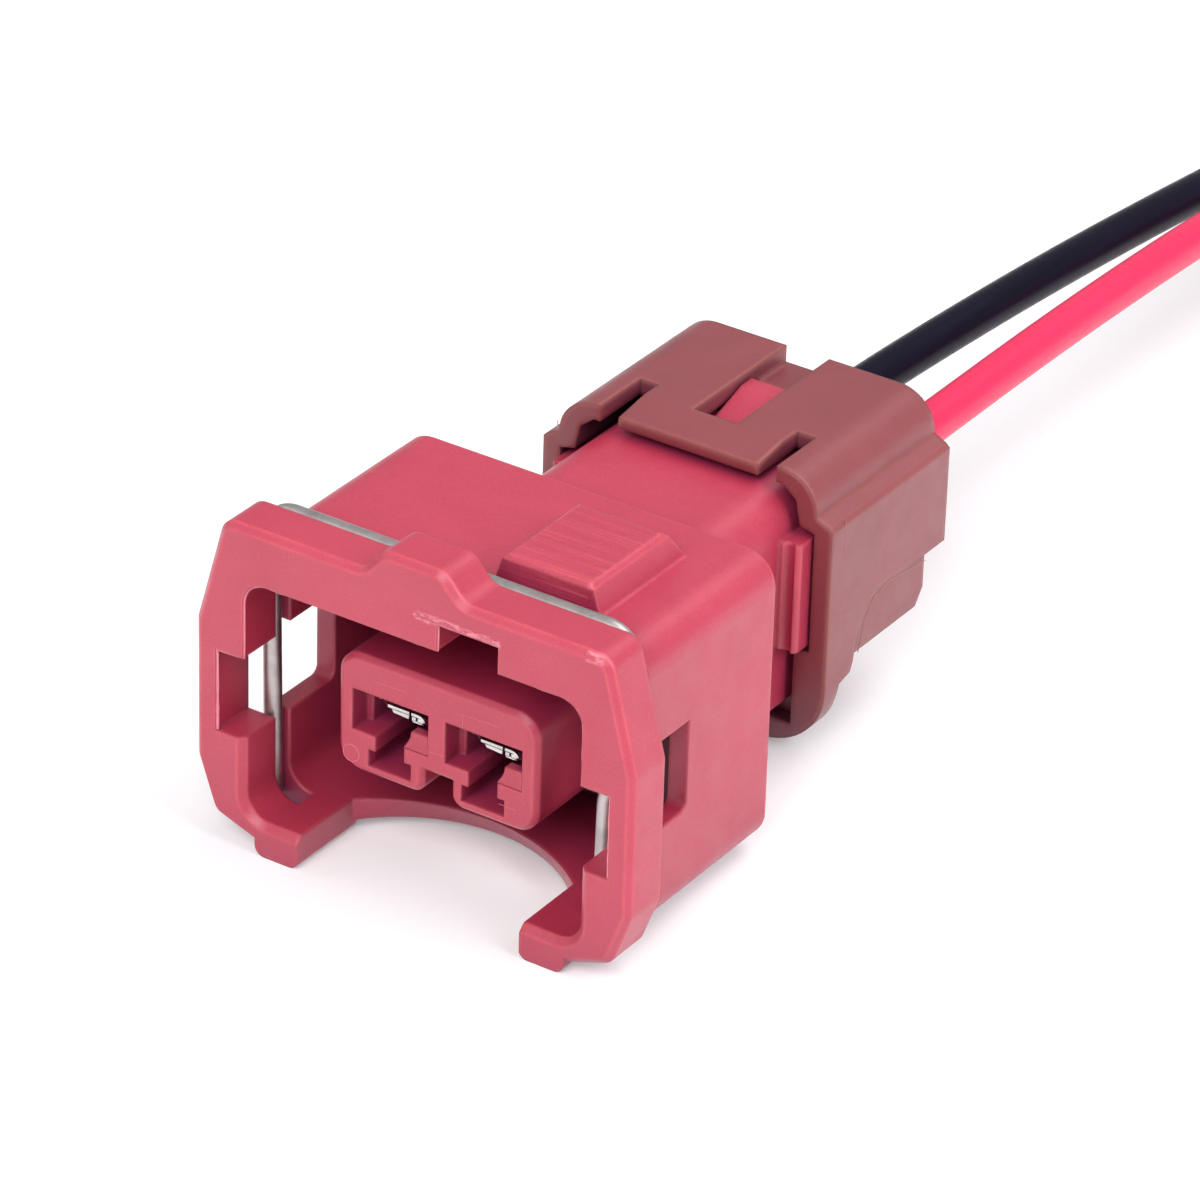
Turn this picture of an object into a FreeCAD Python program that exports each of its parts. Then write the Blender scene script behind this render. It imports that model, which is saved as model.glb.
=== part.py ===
import FreeCAD, Part
import Sketcher
import math
import os

# Two-way sealed fuel injector connector with a spring wire clip and a short two-wire pigtail.
# It is drawn with its mating face at y = 0 and its length along +Y, standing on its two foot beads.
# Each sub-part is then set back by half the overall length, so the origin is under its middle.

V = FreeCAD.Vector
doc = FreeCAD.newDocument("InjectorConnector")
sheet = doc.addObject("Spreadsheet::Sheet", "Dims")

# Driving dimensions in millimetres
SIZES = (
    ("length_overall", "32.0"),
    ("flange_depth", "2.45"),
    ("flange_half_width", "11.65"),
    ("flange_shoulder_in", "1.48"),
    ("flange_rim_top", "1.27"),
    ("flange_rim_round", "0.9"),
    ("flange_face_bevel", "0.3"),
    ("flange_shoulder_drop", "5.47"),
    ("flange_heel_in", "0.95"),
    ("flange_heel_rise", "0.81"),
    ("flange_side_rise", "3.45"),
    ("bump_half_top", "1.57"),
    ("bump_half_base", "2.65"),
    ("bump_rise", "1.23"),
    ("hood_inset", "1.65"),
    ("hood_wall", "1.0"),
    ("hood_roof", "1.4"),
    ("hood_floor", "1.11"),
    ("hood_corner", "1.6"),
    ("hood_rear_bevel", "0.4"),
    ("hood_length", "14.0"),
    ("hood_back_wall", "1.4"),
    ("opening_height", "12.24"),
    ("opening_corner", "1.2"),
    ("mouth_bevel", "0.35"),
    ("keyway_middle", "2.98"),
    ("keyway_width", "3.19"),
    ("keyway_rise", "1.3"),
    ("keyway_inner_rise", "0.4"),
    ("keyway_length", "10.4"),
    ("recess_reach", "1.5"),
    ("recess_low", "4.04"),
    ("recess_height", "4.2"),
    ("window_low", "3.97"),
    ("window_height", "4.57"),
    ("window_length", "4.5"),
    ("window_corner", "0.45"),
    ("scallop_half_width", "6.0"),
    ("scallop_straight", "4.2"),
    ("scallop_apex", "6.3"),
    ("scallop_bevel", "1.2"),
    ("bead_inset", "5.95"),
    ("bead_width", "2.4"),
    ("bead_drop", "0.55"),
    ("bead_length", "4.5"),
    ("block_middle", "3.95"),
    ("block_width", "4.63"),
    ("block_flare", "0.55"),
    ("block_rise", "1.4"),
    ("block_front", "4.6"),
    ("block_length", "5.8"),
    ("block_tail", "1.2"),
    ("block_bevel", "0.18"),
    ("tower_front", "2.1"),
    ("tower_half_width", "5.35"),
    ("tower_lift", "3.14"),
    ("tower_height", "6.0"),
    ("tower_corner", "1.2"),
    ("tower_face_bevel", "0.25"),
    ("tower_notch_half", "0.75"),
    ("tower_notch_rise", "1.25"),
    ("pitch", "5.0"),
    ("cavity_half_width", "1.7"),
    ("cavity_floor_lift", "2.1"),
    ("cavity_height", "2.1"),
    ("lead_in_half_width", "2.05"),
    ("lead_in_depth", "1.15"),
    ("cavity_neck_half", "0.78"),
    ("cavity_neck_drop", "0.75"),
    ("cavity_key_half", "1.15"),
    ("cavity_key_drop", "1.6"),
    ("cavity_tail", "0.1"),
    ("crimp_bore", "3.3"),
    ("neck_half_width", "5.7"),
    ("neck_base", "0.84"),
    ("neck_height", "10.8"),
    ("neck_corner", "2.0"),
    ("neck_tail_gap", "0.3"),
    ("wing_half_width", "6.8"),
    ("wing_lead", "1.0"),
    ("wing_base", "3.3"),
    ("wing_height", "5.6"),
    ("wing_groove", "0.22"),
    ("latch_half_width", "1.05"),
    ("latch_rise", "0.9"),
    ("latch_tail", "0.5"),
    ("latch_length", "3.4"),
    ("cap_length", "10.2"),
    ("cap_half_width", "7.9"),
    ("cap_top", "1.25"),
    ("cap_plate", "0.82"),
    ("cap_shoulder", "2.0"),
    ("cap_ledge", "0.85"),
    ("cap_ledge_drop", "2.3"),
    ("cap_rear_wall", "2.4"),
    ("cap_frame_length", "1.15"),
    ("cap_frame_base", "0.3"),
    ("cap_frame_round", "3.4"),
    ("cap_frame_bottom", "1.15"),
    ("cap_step_rise", "2.6"),
    ("cap_step_length", "1.3"),
    ("cap_skirt_base", "4.4"),
    ("cap_lip_base", "7.15"),
    ("cap_lip_length", "1.35"),
    ("cap_panel_inset", "0.25"),
    ("cap_panel_start", "4.2"),
    ("cap_clearance", "0.15"),
    ("tongue_half_width", "3.8"),
    ("tongue_slope", "0.3"),
    ("tongue_bar", "2.1"),
    ("tongue_slot", "1.0"),
    ("tongue_length", "3.3"),
    ("channel_half_width", "1.17"),
    ("channel_start", "2.3"),
    ("clip_wire", "0.85"),
    ("clip_play", "0.12"),
    ("clip_crown_lift", "0.8"),
    ("clip_inset", "0.3"),
    ("clip_bend", "1.3"),
    ("clip_leg_end", "1.15"),
    ("clip_toe_in", "1.3"),
    ("clip_travel", "0.6"),
    ("seal_front", "9.8"),
    ("seal_margin", "0.9"),
    ("seal_height", "10.4"),
    ("seal_corner", "2.0"),
    ("seal_fit", "0.05"),
    ("contact_setback", "0.6"),
    ("contact_half_width", "1.5"),
    ("contact_height", "1.5"),
    ("contact_sheet", "0.3"),
    ("contact_seam", "0.25"),
    ("contact_seam_shift", "0.35"),
    ("contact_bridge", "1.8"),
    ("contact_bridge_half", "0.9"),
    ("contact_barrel", "5.4"),
    ("contact_tail_gap", "2.6"),
    ("wire_diameter", "2.05"),
    ("wire_fit", "0.02"),
    ("wire_lift", "3.5"),
    ("wire_crimp", "3.3"),
    ("grommet_diameter", "4.4"),
    ("grommet_body", "3.7"),
    ("grommet_length", "7.0"),
    ("grommet_setback", "0.8"),
    ("grommet_rib", "2.4"),
)


# A size keeps its text for the sheet's expressions beside its value.
class Size:
    def __init__(self, text, value):
        self.text = text
        self.value = value

    def joined(self, sign, other, value):
        return Size("(" + self.text + " " + sign + " " + sized(other).text + ")", value)

    def __add__(self, other):
        return self.joined("+", other, self.value + sized(other).value)

    def __sub__(self, other):
        return self.joined("-", other, self.value - sized(other).value)

    def __mul__(self, other):
        return self.joined("*", other, self.value * sized(other).value)

    def __truediv__(self, other):
        return self.joined("/", other, self.value / sized(other).value)

    def __neg__(self):
        return Size("(0 - " + self.text + ")", -self.value)


def sized(number):
    if isinstance(number, Size):
        return number
    return Size("(" + repr(float(number)) + ")", float(number))


for row, (alias, number) in enumerate(SIZES, start=1):
    sheet.set("A" + str(row), alias)
    sheet.set("B" + str(row), number)
    sheet.setAlias("B" + str(row), alias)
doc.recompute()


def dim(alias):
    return Size("Dims." + alias, float(sheet.get(alias)))


# Helpers for bodies, sketches and features
def bind(thing, prop, size):
    thing.setExpression(prop, sized(size).text)


def plane_of(body, role):
    for feature in body.Origin.OriginFeatures:
        if feature.Role == role:
            return feature
    raise ValueError("no plane " + role)


def sketch_on(body, name, role, offset, shift_x=0.0):
    sketch = body.newObject("Sketcher::SketchObject", name)
    sketch.AttachmentSupport = [(plane_of(body, role), "")]
    sketch.MapMode = "FlatFace"
    bind(sketch, "AttachmentOffset.Base.z", offset)
    bind(sketch, "AttachmentOffset.Base.x", shift_x)
    return sketch


def fix_point(sketch, geometry, position, point):
    for kind, size in (("DistanceX", point[0]), ("DistanceY", point[1])):
        size = sized(size)
        number = sketch.addConstraint(Sketcher.Constraint(kind, -1, 1, geometry, position, size.value))
        bind(sketch, "Constraints[" + str(number) + "]", size)


# A closed outline; arcs maps the number of a side to a point that its arc passes through.
def outline(sketch, points, arcs=None):
    arcs = arcs or {}
    corners = [V(sized(x).value, sized(y).value, 0) for x, y in points]
    ends = []
    for number, start in enumerate(corners):
        stop = corners[(number + 1) % len(corners)]
        if number in arcs:
            middle = V(sized(arcs[number][0]).value, sized(arcs[number][1]).value, 0)
            geometry = sketch.addGeometry(Part.Arc(start, middle, stop), False)
            first = 1
            if sketch.getPoint(geometry, 1).distanceToPoint(start) > 1e-6:
                first = 2
            ends.append((geometry, first, 3 - first))
        else:
            geometry = sketch.addGeometry(Part.LineSegment(start, stop), False)
            ends.append((geometry, 1, 2))
    for number, (geometry, first, last) in enumerate(ends):
        after = ends[(number + 1) % len(ends)]
        sketch.addConstraint(Sketcher.Constraint("Coincident", geometry, last, after[0], after[1]))
        fix_point(sketch, geometry, first, points[number])
    for number in arcs:
        # A point on the arc, tied to the sizes, fixes its bulge.
        point = arcs[number]
        spot = V(sized(point[0]).value, sized(point[1]).value, 0)
        extra = sketch.addGeometry(Part.Point(spot), True)
        sketch.addConstraint(Sketcher.Constraint("PointOnObject", extra, 1, ends[number][0]))
        fix_point(sketch, extra, 1, point)


def mirrored_outline(right):
    return right + [(-x, y) for x, y in reversed(right)]


def rectangle(sketch, left, right, low, high):
    outline(sketch, [(left, low), (right, low), (right, high), (left, high)])


# A rectangle with round corners; the lower two can stay square.
def rounded_rectangle(sketch, left, right, low, high, radius, square_foot=False):
    near = sized(radius) * (1 - math.sqrt(0.5))
    top = [
        (right, high - radius), (right - radius, high),
        (left + radius, high), (left, high - radius),
    ]
    bends = [(right - near, high - near), (left + near, high - near)]
    if square_foot:
        outline(sketch, [(left, low), (right, low)] + top, {2: bends[0], 4: bends[1]})
        return
    foot = [(left, low + radius), (left + radius, low), (right - radius, low), (right, low + radius)]
    lower = [(left + near, low + near), (right - near, low + near)]
    outline(sketch, foot + top, {0: lower[0], 2: lower[1], 4: bends[0], 6: bends[1]})


def circle(sketch, across, up, radius):
    middle = V(sized(across).value, sized(up).value, 0)
    geometry = sketch.addGeometry(Part.Circle(middle, V(0, 0, 1), sized(radius).value), False)
    fix_point(sketch, geometry, 3, (across, up))
    number = sketch.addConstraint(Sketcher.Constraint("Radius", geometry, sized(radius).value))
    bind(sketch, "Constraints[" + str(number) + "]", radius)


def new_body(name):
    body = doc.addObject("PartDesign::Body", name)
    body.Label = name
    return body


def finished(body, feature, grows, check=True):
    before = body.Shape.Volume if not body.Shape.isNull() else 0.0
    doc.recompute()
    for thing in (feature,):
        if "Invalid" in thing.State or "Error" in thing.State or thing.Shape.isNull():
            raise ValueError(body.Name + ": " + feature.Name + " failed")
        if not thing.Shape.isValid():
            raise ValueError(body.Name + ": " + feature.Name + " is not valid")
    change = feature.Shape.Volume - before
    if check and (change > 0) != grows:
        raise ValueError(body.Name + ": " + feature.Name + " changed nothing")
    return feature


def pad(body, name, sketch, length, reverse=False, both=False):
    feature = body.newObject("PartDesign::Pad", name)
    feature.Profile = sketch
    bind(feature, "Length", length)
    feature.Reversed = reverse
    feature.Midplane = both
    sketch.Visibility = False
    return finished(body, feature, True)


def pocket(body, name, sketch, length, reverse=False, both=False):
    feature = body.newObject("PartDesign::Pocket", name)
    feature.Profile = sketch
    bind(feature, "Length", length)
    feature.Reversed = reverse
    feature.Midplane = both
    return finished(body, feature, False)


# The straight edges of a body along one axis that pass near a point of the cross plane.
def edges_along(shape, axis, spots, reach=0.02):
    names = []
    others = [number for number in range(3) if number != axis]
    for number, edge in enumerate(shape.Edges, start=1):
        if len(edge.Vertexes) != 2 or not isinstance(edge.Curve, (Part.Line, Part.LineSegment)):
            continue
        first, last = edge.Vertexes[0].Point, edge.Vertexes[1].Point
        if any(abs(first[other] - last[other]) > 1e-4 for other in others):
            continue
        for spot in spots:
            near = all(abs(first[other] - sized(size).value) < reach for other, size in zip(others, spot))
            if near:
                names.append("Edge" + str(number))
                break
    return names


# The edges that lie at one level of an axis; box keeps those inside an x and z range, y and x for a level in z.
def edges_at(shape, axis, level, box=None, open_top=False):
    level = sized(level).value
    others = [number for number in range(3) if number != axis]
    limits = [sized(size).value for size in box] if box else [-1e3, 1e3, -1e3, 1e3]
    names = []
    for number, edge in enumerate(shape.Edges, start=1):
        points = edge.discretize(3)
        if any(abs(point[axis] - level) > 1e-4 for point in points):
            continue
        across = [point[others[0]] for point in points]
        up = [point[others[1]] for point in points]
        if min(across) < limits[0] - 1e-3 or max(across) > limits[1] + 1e-3:
            continue
        if min(up) < limits[2] - 1e-3 or max(up) > limits[3] + 1e-3:
            continue
        if open_top and min(up) > limits[3] - 1e-3:
            continue
        names.append("Edge" + str(number))
    return names


def round_edges(body, name, edges, radius):
    base = body.Tip
    if not edges:
        raise ValueError(body.Name + ": no edges for " + name)
    feature = body.newObject("PartDesign::Fillet", name)
    feature.Base = (base, edges)
    bind(feature, "Radius", radius)
    return finished(body, feature, True, check=False)


def bevel_edges(body, name, edges, size):
    base = body.Tip
    if not edges:
        raise ValueError(body.Name + ": no edges for " + name)
    feature = body.newObject("PartDesign::Chamfer", name)
    feature.Base = (base, edges)
    bind(feature, "Size", size)
    return finished(body, feature, True, check=False)


# Levels and places that several pieces share
length_overall = dim("length_overall")
flange_depth = dim("flange_depth")
flange_half = dim("flange_half_width")
hood_half = flange_half - dim("hood_inset")
hood_inner = hood_half - dim("hood_wall")
hood_low = dim("bead_drop")
floor_top = hood_low + dim("hood_floor")
roof_low = floor_top + dim("opening_height")
hood_top = roof_low + dim("hood_roof")
hood_rear = dim("hood_length")
hood_back = hood_rear - dim("hood_back_wall")
flange_top = hood_top + dim("flange_rim_top")
tower_half = dim("tower_half_width")
tower_low = floor_top + dim("tower_lift")
tower_top = tower_low + dim("tower_height")
half_pitch = dim("pitch") / 2
cavity_low = tower_low + dim("cavity_floor_lift")
cavity_top = cavity_low + dim("cavity_height")
wire_axis = tower_low + dim("wire_lift")
wire_radius = dim("wire_diameter") / 2
neck_half = dim("neck_half_width")
neck_low = floor_top + dim("neck_base")
neck_top = neck_low + dim("neck_height")
wing_half = dim("wing_half_width")
wing_low = neck_low + dim("wing_base")
wing_top = wing_low + dim("wing_height")
cap_front = length_overall - dim("cap_length")
cap_half = dim("cap_half_width")
cap_top = neck_top + dim("cap_top")
cap_inner_end = length_overall - dim("cap_rear_wall")
neck_rear = cap_inner_end - dim("neck_tail_gap")
grommet_front = neck_rear - dim("grommet_setback") - dim("grommet_length")
barrel_rear = grommet_front - dim("contact_tail_gap")
barrel_front = barrel_rear - dim("contact_barrel")
cavity_rear = barrel_front - dim("cavity_tail")
clip_radius = dim("clip_wire") / 2
clip_middle = flange_depth + dim("clip_play") + clip_radius
clip_crown = hood_top + dim("clip_crown_lift")
slot_length = dim("clip_wire") + dim("clip_play") * 2


# Housing: flange, hood, tower, neck and latch ramp in one moulding
def build_housing():
    body = new_body("housing")

    sketch = sketch_on(body, "FlangeOutline", "XZ_Plane", 0)
    heel_half = flange_half - dim("flange_heel_in")
    shoulder_half = flange_half - dim("flange_shoulder_in")
    right = [
        (dim("bead_inset") + dim("bead_width"), hood_low),
        (heel_half, hood_low + dim("flange_heel_rise")),
        (flange_half, hood_low + dim("flange_side_rise")),
        (flange_half, flange_top - dim("flange_shoulder_drop")),
        (shoulder_half, flange_top),
        (dim("bump_half_base"), flange_top),
        (dim("bump_half_top"), flange_top + dim("bump_rise")),
    ]
    outline(sketch, mirrored_outline(right))
    pad(body, "Flange", sketch, flange_depth, reverse=True)
    rim = []
    for side in (1, -1):
        rim += [(shoulder_half * side, flange_top), (heel_half * side, right[1][1])]
        rim += [(flange_half * side, right[2][1]), (flange_half * side, right[3][1])]
        rim += [(dim("bump_half_top") * side, flange_top + dim("bump_rise"))]
        rim += [(dim("bump_half_base") * side, flange_top)]
    round_edges(body, "FlangeRim", edges_along(body.Shape, 1, rim), dim("flange_rim_round"))
    bevel_edges(body, "FlangeFace", edges_at(body.Shape, 1, 0), dim("flange_face_bevel"))

    sketch = sketch_on(body, "HoodOutline", "XZ_Plane", -(flange_depth / 2))
    rounded_rectangle(sketch, -hood_half, hood_half, hood_low, hood_top, dim("hood_corner"))
    pad(body, "Hood", sketch, hood_rear - flange_depth / 2, reverse=True)
    bevel_edges(body, "HoodRear", edges_at(body.Shape, 1, hood_rear), dim("hood_rear_bevel"))

    sketch = sketch_on(body, "NeckOutline", "XZ_Plane", -hood_back)
    rounded_rectangle(sketch, -neck_half, neck_half, neck_low, neck_top, dim("neck_corner"), square_foot=True)
    pad(body, "Neck", sketch, neck_rear - hood_back, reverse=True)

    sketch = sketch_on(body, "WingPlan", "XY_Plane", wing_low)
    groove = dim("wing_groove")
    front = cap_front - dim("wing_lead")
    right = [
        (neck_half - groove, front),
        (neck_half + groove, front),
        (wing_half - groove, front),
        (wing_half, front + groove),
        (wing_half, neck_rear),
    ]
    middle = (neck_half + wing_half) / 2
    arcs = {1: (middle, front + groove), 8: (-middle, front + groove)}
    left = [(-x, y) for x, y in reversed(right)]
    outline(sketch, right + left, {1: arcs[1], 7: arcs[8]})
    pad(body, "Wings", sketch, dim("wing_height"))

    sketch = sketch_on(body, "LatchProfile", "YZ_Plane", 0)
    latch_rear = neck_rear - dim("latch_tail")
    latch_front = latch_rear - dim("latch_length")
    latch_top = neck_top + dim("latch_rise")
    outline(sketch, [
        (latch_front, neck_top - 0.3),
        (latch_rear, neck_top - 0.3),
        (latch_rear, latch_top),
        (latch_rear - dim("latch_length") / 4, latch_top),
        (latch_front, neck_top + 0.1),
    ])
    pad(body, "LatchRamp", sketch, dim("latch_half_width") * 2, both=True)

    # Raised block over the keyway, with flared sides and a sloping tail
    loft = body.newObject("PartDesign::AdditiveLoft", "KeywayBlock")
    low = sketch_on(body, "BlockFoot", "XY_Plane", hood_top - dim("hood_roof") / 4)
    high = sketch_on(body, "BlockTop", "XY_Plane", hood_top + dim("block_rise"))
    half = dim("block_width") / 2
    flare = dim("block_flare")
    block_front = dim("block_front")
    block_rear = block_front + dim("block_length")
    middle = dim("block_middle")
    rectangle(low, middle - half - flare, middle + half + flare, block_front, block_rear + dim("block_tail"))
    rectangle(high, middle - half, middle + half, block_front, block_rear)
    loft.Profile = low
    loft.Sections = [high]
    loft.Ruled = True
    finished(body, loft, True)
    block_top = hood_top + dim("block_rise")
    bevel_edges(body, "BlockEdge", edges_at(body.Shape, 2, block_top), dim("block_bevel"))

    # Hollow in two steps: the mouth is bevelled below the side recesses and sharp above them
    recess_base = floor_top + dim("recess_low")
    turn = dim("opening_corner")
    near = turn * (1 - math.sqrt(0.5))
    for name, low, high in (
        ("LowerHollow", floor_top, recess_base + dim("recess_height") / 2),
        ("UpperHollow", roof_low, recess_base + dim("mouth_bevel")),
    ):
        sign = 1 if name == "LowerHollow" else -1
        sketch = sketch_on(body, name + "Outline", "XZ_Plane", 0)
        half = [(hood_inner - turn, low), (hood_inner, low + turn * sign), (hood_inner, high)]
        bend = (hood_inner - near, low + near * sign)
        outline(sketch, mirrored_outline(half), {0: bend, 4: (-bend[0], bend[1])})
        pocket(body, name, sketch, hood_back)
        if name == "LowerHollow":
            box = (-hood_inner, hood_inner, low, high)
            edges = edges_at(body.Shape, 1, 0, box, open_top=True)
            bevel_edges(body, "MouthBevel", edges, dim("mouth_bevel"))

    # Keyway: full depth through the flange, shallower under the block
    half = dim("keyway_width") / 2
    middle = dim("keyway_middle")
    for name, rise, length in (
        ("KeywayMouth", dim("keyway_rise"), flange_depth),
        ("KeywayRun", dim("keyway_inner_rise"), dim("keyway_length")),
    ):
        sketch = sketch_on(body, name + "Outline", "XZ_Plane", 0)
        rectangle(sketch, middle - half, middle + half, roof_low - 1, roof_low + rise)
        pocket(body, name, sketch, length)

    # Beads under the floor, on which the part stands
    for side, word in ((-1, "Left"), (1, "Right")):
        inner = dim("bead_inset")
        outer = inner + dim("bead_width")
        sketch = sketch_on(body, "Bead" + word + "Outline", "XZ_Plane", 0)
        near, far = inner * side, outer * side
        left, right = (far, near) if side < 0 else (near, far)
        rectangle(sketch, left, right, 0, hood_low + dim("hood_floor") / 2)
        pad(body, "Bead" + word, sketch, dim("bead_length"), reverse=True)
    spots = [(dim("bead_inset") * side, 0) for side in (1, -1)]
    spots += [((dim("bead_inset") + dim("bead_width")) * side, 0) for side in (1, -1)]
    edges = edges_along(body.Shape, 1, spots)
    round_edges(body, "BeadRounds", edges, dim("bead_drop") * 0.95)

    # Recesses in the flange beside the opening, and the windows behind them
    for side, word in ((-1, "Left"), (1, "Right")):
        low = floor_top + dim("recess_low")
        sketch = sketch_on(body, "Recess" + word + "Outline", "XZ_Plane", 0)
        near = (hood_inner - 0.5) * side
        far = (hood_inner + dim("recess_reach")) * side
        left, right = (far, near) if side < 0 else (near, far)
        rectangle(sketch, left, right, low, low + dim("recess_height"))
        pocket(body, "Recess" + word, sketch, flange_depth)

        low = floor_top + dim("window_low")
        sketch = sketch_on(body, "Window" + word + "Outline", "YZ_Plane", (hood_inner - 0.5) * side)
        rear = flange_depth + dim("window_length")
        high = low + dim("window_height")
        turn = dim("window_corner")
        near = turn * (1 - math.sqrt(0.5))
        outline(sketch, [
            (flange_depth, low),
            (rear - turn, low),
            (rear, low + turn),
            (rear, high),
            (flange_depth, high),
        ], {1: (rear - near, low + near)})
        pocket(body, "Window" + word, sketch, dim("hood_wall") + 1.5, reverse=(side > 0))

        # Slot for the clip's leg, open at the top corner and through the floor
        sketch = sketch_on(body, "LegSlot" + word + "Outline", "XY_Plane", 0)
        near = (hood_inner - dim("clip_toe_in")) * side
        far = (hood_half + 0.6) * side
        left, right = (far, near) if side < 0 else (near, far)
        rectangle(sketch, left, right, flange_depth, flange_depth + slot_length)
        pocket(body, "LegSlot" + word, sketch, hood_top + 1, reverse=True)

    # Shallow groove that the clip's crown is pushed into
    sketch = sketch_on(body, "CrownGrooveOutline", "XY_Plane", hood_top)
    rectangle(sketch, -hood_inner, hood_inner, flange_depth, flange_depth + slot_length)
    depth = dim("clip_travel") + clip_radius - dim("clip_crown_lift") + 0.1
    pocket(body, "CrownGroove", sketch, depth)

    # Scallop in the floor, open to the front, wider at the underside
    half = dim("scallop_half_width")
    straight = dim("scallop_straight")
    loft = body.newObject("PartDesign::SubtractiveLoft", "Scallop")
    plans = []
    for name, level, apex in (
        ("ScallopUnder", 0, dim("scallop_apex") + dim("scallop_bevel")),
        ("ScallopOver", floor_top + 0.2, dim("scallop_apex")),
    ):
        plan = sketch_on(body, name, "XY_Plane", level)
        outline(plan, [(-half, -1), (half, -1), (half, straight), (-half, straight)], {2: (0, apex)})
        plans.append(plan)
    loft.Profile = plans[0]
    loft.Sections = [plans[1]]
    loft.Ruled = True
    finished(body, loft, False)

    # Tower with its notch between the two contact cavities
    sketch = sketch_on(body, "TowerOutline", "XZ_Plane", -dim("tower_front"))
    notch = dim("tower_notch_half")
    notch_top = tower_low + dim("tower_notch_rise")
    turn = dim("tower_corner")
    near = turn * (1 - math.sqrt(0.5))
    right = [
        (notch, notch_top),
        (notch, tower_low + turn / 2),
        (notch + turn / 2, tower_low),
        (tower_half - turn, tower_low),
        (tower_half, tower_low + turn),
        (tower_half, tower_top - turn),
        (tower_half - turn, tower_top),
    ]
    bends = {
        1: (notch + near / 2, tower_low + near / 2),
        3: (tower_half - near, tower_low + near),
        5: (tower_half - near, tower_top - near),
    }
    # The sides of the left half run the other way round.
    for number in (1, 3, 5):
        across, level = bends[number]
        bends[12 - number] = (-across, level)
    outline(sketch, mirrored_outline(right), bends)
    pad(body, "Tower", sketch, hood_back - dim("tower_front"), reverse=True)
    box = (-tower_half, tower_half, tower_low, tower_top)
    edges = edges_at(body.Shape, 1, dim("tower_front"), box)
    bevel_edges(body, "TowerFace", edges, dim("tower_face_bevel"))

    # Each cavity is a T-slot with a wider channel below and a wider lead-in at the face
    wide = dim("cavity_half_width")
    neck = dim("cavity_neck_half")
    key = dim("cavity_key_half")
    mouth = dim("lead_in_half_width")
    for side, word in ((-1, "Left"), (1, "Right")):
        axis = half_pitch * side
        sketch = sketch_on(body, "Cavity" + word + "Outline", "XZ_Plane", -dim("tower_front"))
        key_low = cavity_low - dim("cavity_key_drop")
        key_top = cavity_low - dim("cavity_neck_drop")
        outline(sketch, [
            (axis - key, key_low),
            (axis + key, key_low),
            (axis + key, key_top),
            (axis + neck, key_top),
            (axis + neck, cavity_low),
            (axis + wide, cavity_low),
            (axis + wide, cavity_top),
            (axis - wide, cavity_top),
            (axis - wide, cavity_low),
            (axis - neck, cavity_low),
            (axis - neck, key_top),
            (axis - key, key_top),
        ])
        pocket(body, "Cavity" + word, sketch, cavity_rear - dim("tower_front"))
        sketch = sketch_on(body, "LeadIn" + word + "Outline", "XZ_Plane", -dim("tower_front"))
        rectangle(sketch, axis - mouth, axis + mouth, cavity_low, cavity_top)
        pocket(body, "LeadIn" + word, sketch, dim("lead_in_depth"))
        sketch = sketch_on(body, "CrimpBore" + word + "Circle", "XZ_Plane", -neck_rear)
        circle(sketch, axis, wire_axis, dim("crimp_bore") / 2)
        pocket(body, "CrimpBore" + word, sketch, neck_rear - cavity_rear + 0.2, reverse=True)
        sketch = sketch_on(body, "SealBore" + word + "Circle", "XZ_Plane", -neck_rear)
        circle(sketch, axis, wire_axis, dim("grommet_diameter") / 2 + dim("wire_fit"))
        pocket(body, "SealBore" + word, sketch, dim("grommet_length") + dim("grommet_setback"), reverse=True)
    return body


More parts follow.
